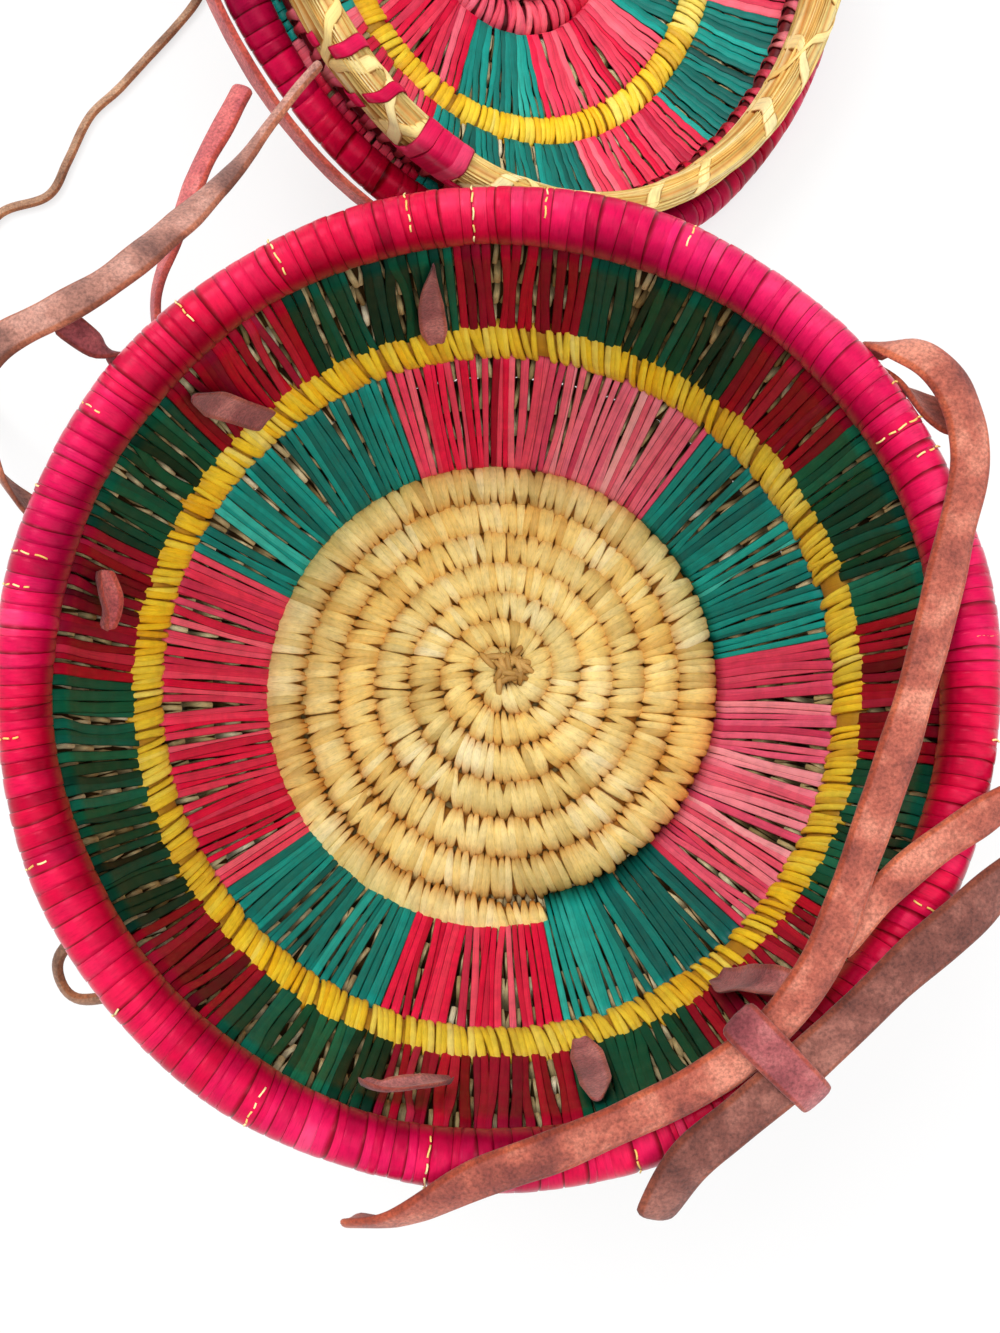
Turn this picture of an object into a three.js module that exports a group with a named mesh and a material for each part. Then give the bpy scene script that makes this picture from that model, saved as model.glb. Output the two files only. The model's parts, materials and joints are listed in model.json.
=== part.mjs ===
// Lidded coiled basket: a bowl of grass coils wrapped with dyed strips, a shallow domed lid that
// drops into its mouth on a straw collar, and the leather straps and ties that carry and join them.
// Millimetres, +Z up, the origin at the middle of the foot, +Y towards the tied side.
import * as THREE from "three";
import { mergeVertices } from "three/addons/utils/BufferGeometryUtils.js";

// Bowl: the overall sizes.
const bowlHeight = 148;
const bowlRimRadius = 150;
const bowlRimThickness = 17;
const bowlWall = 14;
const floorRadius = 98;
const floorThickness = 14;
const yellowCoilRadius = 137.2;
const yellowCoilHeight = 66;
const bellyRadius = 143.3;
const bellyHeight = 100;

// Lid: sizes as it sits when closed.
const lidRimRadius = 144;
const lidRimThickness = 16;
const lidWall = 12;
const lidSeatGap = 0.6;
const lidYellowCoilRadius = 88.3;
const lidYellowCoilRise = 28.5;
const lidCrownRadius = 48;
const lidCrownRise = 41.5;
const lidHeartRadius = 20;
const collarRadius = 126.6;
const collarThickness = 10;
const collarCoil = 10.6;
const collarDepth = 28;

// Wrapping and gaps.
const wrapThickness = 1.8;
const pieceGap = 0.35;
const coilGap = 0.4;
const roundSteps = 48;
const blockStep = 9;
const fullTurn = 360;

// Leather.
const strapWidth = 13;
const strapThickness = 2.4;
const thongWidth = 4;
const girthHeight = 104;
const girthThickness = 2.4;
const tabLength = 50;
const tabClearance = 1.6;
const rolledTab = 2;
const rolledTabLength = 22;

// How the open lid lies behind the bowl: its tie turns at the back of the rim and the lid leans.
const tieAzimuth = 87;
const tieRadius = 168;
const tieHeight = 150;
const tieSwing = 201.3;
const lidPivotRise = 15;
const openMouth = new THREE.Vector3(0.43, -0.33, 0.84).normalize();

// Azimuths where the second colour starts and ends, in degrees from +X towards +Y.
const innerTealBlocks = [[8, 50], [110, 156], [217, 250], [281, 315]];
const outerGreenBlocks = [[9, 35], [52, 77], [96, 120], [140, 160], [180, 215.5], [231.5, 254], [281, 300], [325, 348]];
const lidInnerTealBlocks = [[67, 97], [146, 176], [236, 266], [340, 376]];
const lidOuterTealBlocks = [[1, 31], [61, 102], [130, 162], [190, 222], [250, 280], [308, 336]];

const colours = {
  straw: 0xd9bd76,
  yellow: 0xdcb62a,
  crimson: 0xb8123c,
  darkCrimson: 0x8e0f30,
  teal: 0x0f867e,
  green: 0x0f5744,
  rim: 0xcb1a4c,
  leather: 0xa8685a,
};

function material(colour, roughness) {
  return new THREE.MeshStandardMaterial({ color: colour, roughness, metalness: 0 });
}

const materials = {
  straw: material(colours.straw, 0.8),
  yellow: material(colours.yellow, 0.7),
  crimson: material(colours.crimson, 0.45),
  darkCrimson: material(colours.darkCrimson, 0.5),
  teal: material(colours.teal, 0.45),
  green: material(colours.green, 0.5),
  rim: material(colours.rim, 0.35),
  leather: material(colours.leather, 0.85),
};

const basket = new THREE.Group();
const bowl = new THREE.Group();
const lid = new THREE.Group();
basket.add(bowl, lid);

function addPiece(group, name, geometry, look) {
  const mesh = new THREE.Mesh(geometry, look);
  mesh.name = name;
  group.add(mesh);
  return mesh;
}

const radians = THREE.MathUtils.degToRad;

// A place given by its distance from the bowl's axis, its azimuth in degrees and its height.
function polar(radius, azimuth, height) {
  const a = radians(azimuth);
  return new THREE.Vector3(radius * Math.cos(a), radius * Math.sin(a), height);
}

// Closed solid from points and triangles, turned the right way out by its signed volume.
function closedSolid(points, triangles) {
  let volume = 0;
  for (const [a, b, c] of triangles) {
    volume += points[a].dot(new THREE.Vector3().crossVectors(points[b], points[c]));
  }
  const order = volume < 0 ? ([a, b, c]) => [a, c, b] : (t) => t;
  const geometry = new THREE.BufferGeometry().setFromPoints(points);
  geometry.setIndex(triangles.flatMap(order));
  geometry.computeVertexNormals();
  return geometry;
}

// Solid whose cross-sections are loops with the same number of points. Open ones get end caps.
function skin(loops, joined) {
  const count = loops[0].length;
  const points = loops.flat();
  const triangles = [];
  const rows = joined ? loops.length : loops.length - 1;
  for (let row = 0; row < rows; row++) {
    const here = row * count;
    const next = ((row + 1) % loops.length) * count;
    for (let i = 0; i < count; i++) {
      const j = (i + 1) % count;
      triangles.push([here + i, next + i, next + j], [here + i, next + j, here + j]);
    }
  }
  if (!joined) {
    const last = (loops.length - 1) * count;
    for (let i = 1; i < count - 1; i++) {
      triangles.push([0, i, i + 1], [last, last + i + 1, last + i]);
    }
  }
  return closedSolid(points, triangles);
}

// Round coil or disc: an outline of [radius, height] pairs turned about the bowl's axis.
function turned(outline) {
  const points = outline.map(([r, z]) => new THREE.Vector2(r, z));
  if (outline[0][0] > 0) {
    points.push(points[0].clone());
  }
  const geometry = new THREE.LatheGeometry(points, roundSteps);
  geometry.deleteAttribute("normal");
  geometry.deleteAttribute("uv");
  geometry.rotateX(Math.PI / 2);
  const merged = mergeVertices(geometry, 1e-4);
  const place = merged.attributes.position;
  const corners = Array.from({ length: place.count }, (_, i) => new THREE.Vector3().fromBufferAttribute(place, i));
  const triangles = [];
  const index = merged.index.array;
  for (let i = 0; i < index.length; i += 3) {
    const t = [index[i], index[i + 1], index[i + 2]];
    if (new Set(t).size === 3) {
      triangles.push(t);
    }
  }
  return closedSolid(corners, triangles);
}

// Outline of one round coil.
function coilOutline(radius, height, coilRadius, sides) {
  return Array.from({ length: sides }, (_, i) => {
    const a = (2 * Math.PI * i) / sides;
    return [radius + coilRadius * Math.sin(a), height + coilRadius * Math.cos(a)];
  });
}

// Outline of a wall of stacked coils along its middle line, drawn in by a depth on every side.
function wallOutline(middle, thickness, depth) {
  const line = middle.map(([r, z]) => new THREE.Vector2(r, z));
  const last = line.length - 1;
  const first = line[1].clone().sub(line[0]).setLength(depth);
  const end = line[last - 1].clone().sub(line[last]).setLength(depth);
  line[0].add(first);
  line[last].add(end);
  const half = thickness / 2 - depth;
  const sides = line.map((point, i) => {
    const along = line[Math.min(i + 1, last)].clone().sub(line[Math.max(i - 1, 0)]).normalize();
    const across = new THREE.Vector2(along.y, -along.x).multiplyScalar(half);
    return [point.clone().add(across), point.clone().sub(across)];
  });
  return [...sides.map((s) => s[0]), ...sides.map((s) => s[1]).reverse()];
}

// How far out the inner face of a wall is at a height.
function innerFace(middle, thickness, height) {
  const face = wallOutline(middle, thickness, 0).slice(middle.length).reverse();
  const k = height < face[1].y ? 0 : 1;
  const share = (height - face[k].y) / (face[k + 1].y - face[k].y);
  return THREE.MathUtils.lerp(face[k].x, face[k + 1].x, share);
}

// The outline stood up at an azimuth.
function atAzimuth(outline, azimuth) {
  return outline.map((p) => polar(p.x, azimuth, p.y));
}

// Even azimuths from start to end, both included.
function azimuths(start, end) {
  const steps = Math.max(1, Math.round((end - start) / blockStep));
  return Array.from({ length: steps + 1 }, (_, i) => start + ((end - start) * i) / steps);
}

// Ring of coils in the first colour, drawn in to its core where a block of the second colour goes.
function bandRing(middle, thickness, blocks) {
  const full = wallOutline(middle, thickness, 0);
  const core = wallOutline(middle, thickness, wrapThickness + pieceGap);
  const loops = [];
  blocks.forEach(([start, end], i) => {
    for (const a of azimuths(start, end)) {
      loops.push(atAzimuth(core, a));
    }
    const nextStart = i + 1 < blocks.length ? blocks[i + 1][0] : blocks[0][0] + fullTurn;
    for (const a of azimuths(end, nextStart)) {
      loops.push(atAzimuth(full, a));
    }
  });
  return skin(loops, true);
}

// Sleeve of the second colour, wrapped round the ring's core from start to end.
function sleeve(middle, thickness, [start, end]) {
  const outside = wallOutline(middle, thickness, 0);
  const inside = wallOutline(middle, thickness, wrapThickness);
  const reach = middle[Math.floor(middle.length / 2)][0];
  const clear = THREE.MathUtils.radToDeg(pieceGap / reach);
  const stations = azimuths(start, end);
  stations[0] += clear;
  stations[stations.length - 1] -= clear;
  const count = outside.length;
  const points = stations.flatMap((a) => [...atAzimuth(outside, a), ...atAzimuth(inside, a)]);
  const triangles = [];
  const quad = (a, b, c, d) => triangles.push([a, b, c], [a, c, d]);
  for (let i = 0; i < count; i++) {
    const j = (i + 1) % count;
    for (let s = 0; s < stations.length - 1; s++) {
      const here = s * 2 * count;
      const next = here + 2 * count;
      quad(here + i, here + j, next + j, next + i);
      quad(here + count + j, here + count + i, next + count + i, next + count + j);
    }
    const last = (stations.length - 1) * 2 * count;
    quad(j, i, count + i, count + j);
    quad(last + i, last + j, last + count + j, last + count + i);
  }
  return closedSolid(points, triangles);
}

// Flat strap along a smooth route. Each stop is its middle and the way its flat side faces.
function strap(stops, width, thickness, steps) {
  const route = new THREE.CatmullRomCurve3(stops.map((s) => s.at));
  const loops = [];
  for (let i = 0; i <= steps; i++) {
    const t = i / steps;
    const at = route.getPoint(t);
    const along = route.getTangent(t);
    const k = Math.min(Math.floor(t * (stops.length - 1)), stops.length - 2);
    const mix = t * (stops.length - 1) - k;
    const face = stops[k].face.clone().lerp(stops[k + 1].face, mix);
    face.addScaledVector(along, -face.dot(along)).normalize();
    const side = new THREE.Vector3().crossVectors(along, face).multiplyScalar(width / 2);
    face.multiplyScalar(thickness / 2);
    loops.push([
      at.clone().add(side).add(face),
      at.clone().sub(side).add(face),
      at.clone().sub(side).sub(face),
      at.clone().add(side).sub(face),
    ]);
  }
  return skin(loops, false);
}

const up = new THREE.Vector3(0, 0, 1);

// Strap stops from points [x, y, z] whose flat side leans from up towards outwards by a share.
function stopsFrom(points, outwardShare) {
  return points.map(([x, y, z], i) => {
    const share = Array.isArray(outwardShare) ? outwardShare[i] : outwardShare;
    const out = new THREE.Vector3(x, y, 0).normalize();
    return { at: new THREE.Vector3(x, y, z), face: up.clone().lerp(out, share).normalize() };
  });
}

// Strap that lies round the outside of a wall at one height.
function hoop(radius, height, start, end, width, thickness) {
  const stations = azimuths(start, end);
  const whole = end - start >= fullTurn;
  const loops = (whole ? stations.slice(0, -1) : stations).map((a) => [
    polar(radius, a, height - width / 2),
    polar(radius + thickness, a, height - width / 2),
    polar(radius + thickness, a, height + width / 2),
    polar(radius, a, height + width / 2),
  ]);
  return skin(loops, whole);
}

// Bowl.
const bowlRimCoil = bowlRimThickness / 2;
const bowlRimCentre = bowlRimRadius - bowlRimCoil;
const bowlRimHeight = bowlHeight - bowlRimCoil;
const yellowCoil = bowlWall / 2;
const innerBandLine = [
  [floorRadius + 5.6, floorThickness - 2],
  [floorRadius + 20, floorThickness + 18],
  [yellowCoilRadius - 3.1, yellowCoilHeight - yellowCoil + 0.3],
];
const outerBandLine = [
  [yellowCoilRadius + 1.85, yellowCoilHeight + yellowCoil + coilGap - 0.2],
  [bellyRadius, bellyHeight],
  [bowlRimCentre + 0.3, bowlRimHeight - bowlRimCoil - coilGap],
];
const bandFoot = wallOutline(innerBandLine, bowlWall, 0);
const footOuter = bandFoot[0];
const footInner = bandFoot[bandFoot.length - 1];

addPiece(bowl, "center_disc", turned([
  [0, 0],
  [floorRadius + 2, 0],
  [floorRadius + 7, floorThickness * 0.28],
  [footOuter.x - 1, footOuter.y - 0.6],
  [footInner.x - 0.7, footInner.y - 0.5],
  [floorRadius - 4, floorThickness],
  [0, floorThickness],
]), materials.straw);
addPiece(bowl, "inner_band", bandRing(innerBandLine, bowlWall, innerTealBlocks), materials.crimson);
innerTealBlocks.forEach((block, i) => {
  addPiece(bowl, `inner_teal_${i + 1}`, sleeve(innerBandLine, bowlWall, block), materials.teal);
});
addPiece(bowl, "yellow_ring", turned(coilOutline(yellowCoilRadius, yellowCoilHeight, yellowCoil, 10)), materials.yellow);
addPiece(bowl, "outer_band", bandRing(outerBandLine, bowlWall, outerGreenBlocks), materials.darkCrimson);
outerGreenBlocks.forEach((block, i) => {
  addPiece(bowl, `outer_green_${i + 1}`, sleeve(outerBandLine, bowlWall, block), materials.green);
});
addPiece(bowl, "rim", turned(coilOutline(bowlRimCentre, bowlRimHeight, bowlRimCoil, 12)), materials.rim);

// Girth strap round the belly, held by loops whose ends come through the wall as tabs.
const girthRadius = bellyRadius + bowlWall / 2 + pieceGap + 0.2;
addPiece(bowl, "girth_strap", hoop(girthRadius, girthHeight, 0, fullTurn, strapWidth, girthThickness), materials.leather);
const loopAzimuths = [100, 133, 167, 256, 283, 309];
const loopRadius = girthRadius + girthThickness + 0.3;
const loopWidth = 9;
loopAzimuths.forEach((azimuth, i) => {
  const spread = THREE.MathUtils.radToDeg(loopWidth / loopRadius);
  const band = hoop(loopRadius, girthHeight, azimuth - spread / 2, azimuth + spread / 2, strapWidth + 9, strapThickness);
  addPiece(bowl, `girth_loop_${i + 1}`, band, materials.leather);
  const tall = i === rolledTab ? rolledTabLength : tabLength;
  const face = polar(-1, azimuth, 0);
  const tab = strap([-1, 0, 1].map((end) => {
    const height = girthHeight + (end * tall) / 2;
    const inside = innerFace(outerBandLine, bowlWall, height) - strapThickness / 2 - tabClearance;
    return { at: polar(inside, azimuth + end, height), face };
  }), loopWidth, strapThickness, 4);
  addPiece(bowl, `loop_tab_${i + 1}`, tab, materials.leather);
});

// Straps that lie loose over the rim, each route in millimetres.
const onRim = bowlHeight + pieceGap + strapThickness / 2;
const onStrap = onRim + strapThickness + pieceGap + 0.1;
const onTwoStraps = onStrap + strapThickness + pieceGap + 0.6;
const slackRoute = [
  [125.5, 97.5, 142], [134.5, 88.5, 147.5], [139, 75, onRim + 0.6], [138.5, 59.5, onRim], [133.7, 41.5, onRim],
  [125.7, 12.6, onRim + 0.6], [115.2, -19.1, onRim + 1.6], [102.9, -50.5, onStrap], [91, -79.5, onStrap],
  [75, -101, onRim + 0.6], [57, -114, onRim], [38.5, -123, onRim], [17, -132, onRim],
  [-5.8, -140, onRim], [-27, -151, 147], [-43, -154.5, 141],
];
const slackFaces = [0.9, 0.6, 0.1, 0, 0, 0, 0, 0, 0, 0, 0, 0, 0, 0.1, 0.6, 0.9];
const slackShape = strap(stopsFrom(slackRoute, slackFaces), strapWidth - 2, strapThickness, 44);
addPiece(basket, "slack_strap", slackShape, materials.leather);

const doubleRoute = [
  [161.5, -42, 126], [153.5, -50, 143], [136, -65, onRim + 0.4], [115, -81, onStrap], [100, -94.5, onStrap + 0.6],
  [83, -109.5, onStrap + 0.4], [66.5, -123, onStrap], [53, -134, onStrap], [43.5, -151, 148],
];
const doubleFaces = [1, 0.7, 0, 0, 0, 0, 0, 0.1, 0.5];
const doubleShape = strap(stopsFrom(doubleRoute, doubleFaces), strapWidth, strapThickness, 28);
addPiece(basket, "double_strap", doubleShape, materials.leather);

const foldRoute = [
  [160.5, -24, 132], [152, -31, 147], [138, -40, onRim + 0.2], [123, -50, onRim], [109, -62, onRim], [95, -77, onRim],
];
const foldFaces = [1, 0.6, 0.05, 0, 0, 0];
const foldShape = strap(stopsFrom(foldRoute, foldFaces), strapWidth - 3, strapThickness, 18);
addPiece(basket, "fold_strap", foldShape, materials.leather);

const keeperRoute = [[70, -98, onTwoStraps], [78.5, -106.5, onTwoStraps + 0.4], [86, -114, onTwoStraps]];
const keeperShape = strap(stopsFrom(keeperRoute, 0), strapWidth - 2, strapThickness, 4);
addPiece(basket, "strap_keeper", keeperShape, materials.leather);

const longRoute = [
  [-142.5, 47.9, 121], [-154, 62, 132], [-157, 82, 142], [-149, 95, 150], [-130, 106.5, 150], [-116.5, 117.8, 146],
  [-105.4, 135.5, 136], [-97, 153.7, 124], [-87, 173.4, 114], [-78.5, 190, 109], [-68.5, 204, 109], [-60, 210.5, 113],
];
const longFaces = [0.9, 0.6, 0.3, 0, 0, 0, 0, 0, 0, 0, 0, 0];
addPiece(bowl, "long_strap", strap(stopsFrom(longRoute, longFaces), strapWidth - 1, strapThickness, 34), materials.leather);

const sideRoute = [
  [-109.4, 103.1, 120], [-113, 125, 117], [-111, 148, 109], [-104, 177, 104], [-96.5, 195, 102], [-90, 211, 100],
];
addPiece(bowl, "side_strap", strap(stopsFrom(sideRoute, [0.9, 0.8, 0.5, 0.3, 0.2, 0.2]), strapWidth - 2, strapThickness, 18), materials.leather);

const shortRoute = [[-131, 105.5, 146.8], [-124, 101, 138], [-115.2, 97.4, 126]];
addPiece(bowl, "short_tie", strap(stopsFrom(shortRoute, [0.2, 0.3, 0.8]), strapWidth - 4, strapThickness, 6), materials.leather);

const sideThongRoute = [[-128.4, -78.4, 123], [-138, -90, 119], [-133, -102, 116], [-113.4, -99.1, 118]];
addPiece(bowl, "side_thong", strap(stopsFrom(sideThongRoute, 0.5), thongWidth, strapThickness, 10), materials.leather);

// Lid, in its closed place.
const lidRimCoil = lidRimThickness / 2;
const lidRimCentre = lidRimRadius - lidRimCoil;
const rimOffset = bowlRimCentre - lidRimCentre;
const coilsApart = bowlRimCoil + lidRimCoil + lidSeatGap;
const lidPlane = bowlRimHeight + Math.sqrt(coilsApart ** 2 - rimOffset ** 2);
const lidCoil = lidWall / 2;
const lidOuterLine = [
  [lidRimCentre - lidRimCoil + 1, lidPlane + 4.7],
  [110, lidPlane + 17.5],
  [lidYellowCoilRadius + lidCoil - 0.3, lidPlane + lidYellowCoilRise - 2.9],
];
const lidInnerLine = [
  [lidYellowCoilRadius - lidCoil + 0.14, lidPlane + lidYellowCoilRise + 2.55],
  [66, lidPlane + 37],
  [lidCrownRadius + 0.4, lidPlane + lidCrownRise],
];

const crownLow = lidPlane + lidCrownRise - 5;
const crownTop = lidPlane + lidCrownRise + 8.5;
const heartBulge = 1;
addPiece(lid, "lid_heart_coil", turned([
  [0, crownLow],
  [lidHeartRadius - pieceGap, crownLow],
  [lidHeartRadius - pieceGap, crownTop],
  [0, crownTop + heartBulge],
]), materials.yellow);
addPiece(lid, "lid_crimson_coils", turned([
  [lidHeartRadius, crownLow],
  [lidCrownRadius - 2, crownLow - 1],
  [lidCrownRadius - 0.2, lidPlane + lidCrownRise],
  [lidCrownRadius + 0.8, crownTop - 3.3],
  [lidCrownRadius - 2, crownTop - 2.3],
  [lidHeartRadius, crownTop],
]), materials.crimson);
addPiece(lid, "lid_inner_band", bandRing(lidInnerLine, lidWall, lidInnerTealBlocks), materials.crimson);
lidInnerTealBlocks.forEach((block, i) => {
  addPiece(lid, `lid_inner_teal_${i + 1}`, sleeve(lidInnerLine, lidWall, block), materials.teal);
});
const lidYellowOutline = coilOutline(lidYellowCoilRadius, lidPlane + lidYellowCoilRise, lidCoil, 10);
addPiece(lid, "lid_yellow_ring", turned(lidYellowOutline), materials.yellow);
addPiece(lid, "lid_outer_band", bandRing(lidOuterLine, lidWall, lidOuterTealBlocks), materials.crimson);
lidOuterTealBlocks.forEach((block, i) => {
  addPiece(lid, `lid_outer_teal_${i + 1}`, sleeve(lidOuterLine, lidWall, block), materials.teal);
});
addPiece(lid, "lid_rim", turned(coilOutline(lidRimCentre, lidPlane, lidRimCoil, 12)), materials.rim);
const collarCoilHeight = lidPlane + 1 - collarCoil / 2;
const collarCoilOutline = coilOutline(collarRadius - collarCoil / 2, collarCoilHeight, collarCoil / 2, 8);
addPiece(lid, "lid_collar_coil", turned(collarCoilOutline), materials.crimson);
const collarTop = collarCoilHeight - collarCoil / 2 - pieceGap;
const collarLow = lidPlane - collarDepth;
addPiece(lid, "lid_straw_collar", turned([
  [collarRadius - 2.5, collarLow],
  [collarRadius, collarLow + 3],
  [collarRadius, collarTop - 2.5],
  [collarRadius - 2.5, collarTop],
  [collarRadius - collarThickness + 2.5, collarTop],
  [collarRadius - collarThickness, collarTop - 2.5],
  [collarRadius - collarThickness, collarLow + 3],
  [collarRadius - collarThickness + 2.5, collarLow],
]), materials.straw);
const lidStrapHeight = lidPlane + 4;
const lidStrapRadius = lidRimRadius + pieceGap + 0.4;
addPiece(lid, "lid_strap", hoop(lidStrapRadius, lidStrapHeight, 112, 202, strapWidth, strapThickness), materials.leather);

// The open lid: turned back about the tie, then leaned about its own middle.
const tiePlace = polar(tieRadius, tieAzimuth, tieHeight);
const tieAxis = polar(1, tieAzimuth - 90, 0);
const lidPivot = new THREE.Vector3(0, 0, lidPlane + lidPivotRise);
const swing = new THREE.Quaternion().setFromAxisAngle(tieAxis, -radians(tieSwing));
const mouthOnTie = openMouth.clone().applyQuaternion(swing.clone().invert());
const leanTurn = new THREE.Quaternion().setFromUnitVectors(up.clone().negate(), mouthOnTie);
const pivotOpen = lidPivot.clone().sub(tiePlace).applyQuaternion(swing).add(tiePlace);
lid.quaternion.copy(swing).multiply(leanTurn);
lid.position.copy(pivotOpen).sub(lidPivot.clone().applyQuaternion(lid.quaternion));

// Leather tie between the back of the bowl and the near edge of the open lid.
lid.updateMatrix();
const tieEnd = polar(lidRimRadius + 2, tieAzimuth, lidPlane + 2).applyMatrix4(lid.matrix);
const tieStart = polar(bowlRimCentre + bowlWall / 2 + 2.2, tieAzimuth, girthHeight + 22);
const tieFace = polar(1, tieAzimuth, 0);
const tieMiddle = tieStart.clone().lerp(tieEnd, 0.5).addScaledVector(tieFace, 2);
addPiece(basket, "back_tie", strap([
  { at: tieStart, face: tieFace },
  { at: tieMiddle, face: tieFace },
  { at: tieEnd, face: tieFace },
], strapWidth, strapThickness, 10), materials.leather);

// Thin thong tied under the long strap's bend. It drops to the ground and lies there.
const thongHeight = thongWidth / 2;
const thongRoute = [
  [-157, 83, 137.6], [-172, 90, 128], [-196, 100, 80], [-222, 118, 28], [-236, 140, 6], [-242, 168, thongHeight],
  [-240, 196, thongHeight], [-228, 218.5, thongHeight], [-206, 227, thongHeight], [-197.3, 244, thongHeight],
  [-188, 265, thongHeight], [-175.3, 278, thongHeight], [-161, 294.7, thongHeight], [-149.7, 308, thongHeight],
  [-139.8, 321.5, thongHeight], [-134, 335, thongHeight],
];
const thongShape = strap(stopsFrom(thongRoute, 0.15), thongWidth, thongWidth * 0.6, 44);
addPiece(basket, "thin_thong", thongShape, materials.leather);

export default basket;
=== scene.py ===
# %% [markdown]
# # A coiled grass basket with a lid
# The basket is sewn from long grass coils. Flat dyed strips wrap the coils in blocks of colour, a
# thick bundle wound with glossy strips makes the rim, and soft leather straps carry it. This
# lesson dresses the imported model, so every piece keeps the place that the frame gives it.

# %% Libraries and the frame
import json
import math

import bpy
import numpy as np
from mathutils import Matrix, Vector


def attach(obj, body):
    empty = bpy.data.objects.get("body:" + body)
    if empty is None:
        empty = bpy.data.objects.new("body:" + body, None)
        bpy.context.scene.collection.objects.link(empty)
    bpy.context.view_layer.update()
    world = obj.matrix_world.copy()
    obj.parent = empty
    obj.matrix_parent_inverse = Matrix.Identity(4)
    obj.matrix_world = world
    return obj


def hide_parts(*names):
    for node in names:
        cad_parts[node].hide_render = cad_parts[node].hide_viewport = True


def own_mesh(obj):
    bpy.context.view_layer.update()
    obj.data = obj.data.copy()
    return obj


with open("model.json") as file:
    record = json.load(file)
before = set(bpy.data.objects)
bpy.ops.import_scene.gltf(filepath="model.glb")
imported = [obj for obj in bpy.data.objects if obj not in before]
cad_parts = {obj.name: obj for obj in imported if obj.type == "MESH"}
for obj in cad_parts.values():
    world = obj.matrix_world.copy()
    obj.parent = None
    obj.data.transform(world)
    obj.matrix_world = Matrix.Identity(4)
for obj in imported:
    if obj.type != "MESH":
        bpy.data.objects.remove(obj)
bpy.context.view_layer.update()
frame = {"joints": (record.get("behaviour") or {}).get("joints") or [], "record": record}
MM = 0.001

# %% [markdown]
# ## Camera
# The photograph looks almost straight down into the bowl from close above it. The camera hangs over
# the bowl and leans a little towards the lid, and its lens is that of a plain phone camera.

# %% Camera
CAMERA_ABOVE_GROUND = 0.4282
CAMERA_TOWARDS_FRONT = 0.0186
CAMERA_RIGHT = 0.0009
CAMERA_LEAN = 4.0
LENS = 26.1
SENSOR = 36

camera_data = bpy.data.cameras.new("camera")
camera_data.lens = LENS
camera_data.sensor_width = SENSOR
camera_data.sensor_fit = "AUTO"
camera_data.clip_start = 0.01
camera = bpy.data.objects.new("camera", camera_data)
bpy.context.collection.objects.link(camera)
camera.location = (CAMERA_RIGHT, -CAMERA_TOWARDS_FRONT, CAMERA_ABOVE_GROUND)
camera.rotation_euler = (math.radians(CAMERA_LEAN), 0, 0)
bpy.context.scene.camera = camera
print("camera at", tuple(camera.location))

# %% [markdown]
# ## Colours and materials
# Dyed strips take the colour unevenly and shine a little along their fibres. So each material mixes
# tones by a number that every strip carries, drifts to a second set of tones over larger patches, and
# adds fine streaks along the strip from its own UV map, where U runs across the strip and V along it.

# %% Small node helpers
NOISE_ROUGHNESS = 0.6


def srgb(code):
    """A colour written as RRGGBB, as the linear values that Blender mixes."""
    values = [int(code[i:i + 2], 16) / 255 for i in (0, 2, 4)]
    return [v / 12.92 if v <= 0.04045 else ((v + 0.055) / 1.055) ** 2.4 for v in values] + [1.0]


def grey(value):
    """A grey as a linear colour."""
    return (value, value, value, 1.0)


def new_material(name, roughness):
    """A material with its shader, and the tree to add nodes to."""
    material = bpy.data.materials.new(name)
    material.use_nodes = True
    shader = material.node_tree.nodes["Principled BSDF"]
    shader.inputs["Roughness"].default_value = roughness
    return material, material.node_tree, shader


def add(tree, kind, **values):
    """A node with its settings and its unlinked sockets filled in."""
    node = tree.nodes.new(kind)
    for key, value in values.items():
        if hasattr(node, key):
            setattr(node, key, value)
        else:
            node.inputs[key.replace("_", " ")].default_value = value
    return node


def ramp(tree, source, stops):
    """A colour ramp over a value: stops are pairs of place and colour."""
    node = tree.nodes.new("ShaderNodeValToRGB")
    elements = node.color_ramp.elements
    while len(elements) < len(stops):
        elements.new(0.5)
    for element, (place, colour) in zip(elements, stops):
        element.position = place
        element.color = colour
    tree.links.new(source, node.inputs["Fac"])
    return node.outputs["Color"]


def mixed(tree, share, first, second, blend="MIX"):
    """Two colours mixed by a share. Each input is a socket or a plain value."""
    node = tree.nodes.new("ShaderNodeMix")
    node.data_type = "RGBA"
    node.blend_type = blend
    for socket, value in ((node.inputs[0], share), (node.inputs[6], first), (node.inputs[7], second)):
        if isinstance(value, bpy.types.NodeSocket):
            tree.links.new(value, socket)
        else:
            socket.default_value = value
    return node.outputs[2]


def bump(tree, shader, height, strength, distance):
    """Bump on the shader from a height socket. Distance is in metres."""
    node = add(tree, "ShaderNodeBump", Strength=strength, Distance=distance)
    tree.links.new(height, node.inputs["Height"])
    tree.links.new(node.outputs["Normal"], shader.inputs["Normal"])


def streaks(tree, across, along):
    """Noise drawn out along the strips, from the UV map."""
    uv = tree.nodes.new("ShaderNodeUVMap")
    uv.uv_map = "strip"
    mapping = add(tree, "ShaderNodeMapping", Scale=(across, along, 1))
    noise = add(tree, "ShaderNodeTexNoise", Scale=1.0, Detail=4.0, Roughness=NOISE_ROUGHNESS)
    tree.links.new(uv.outputs["UV"], mapping.inputs["Vector"])
    tree.links.new(mapping.outputs["Vector"], noise.inputs["Vector"])
    return noise.outputs["Fac"]


def object_noise(tree, scale, detail=4.0):
    """Noise fixed to the piece's own place."""
    place = tree.nodes.new("ShaderNodeTexCoord")
    noise = add(tree, "ShaderNodeTexNoise", Scale=scale, Detail=detail, Roughness=NOISE_ROUGHNESS)
    tree.links.new(place.outputs["Object"], noise.inputs["Vector"])
    return noise.outputs["Fac"]


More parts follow.
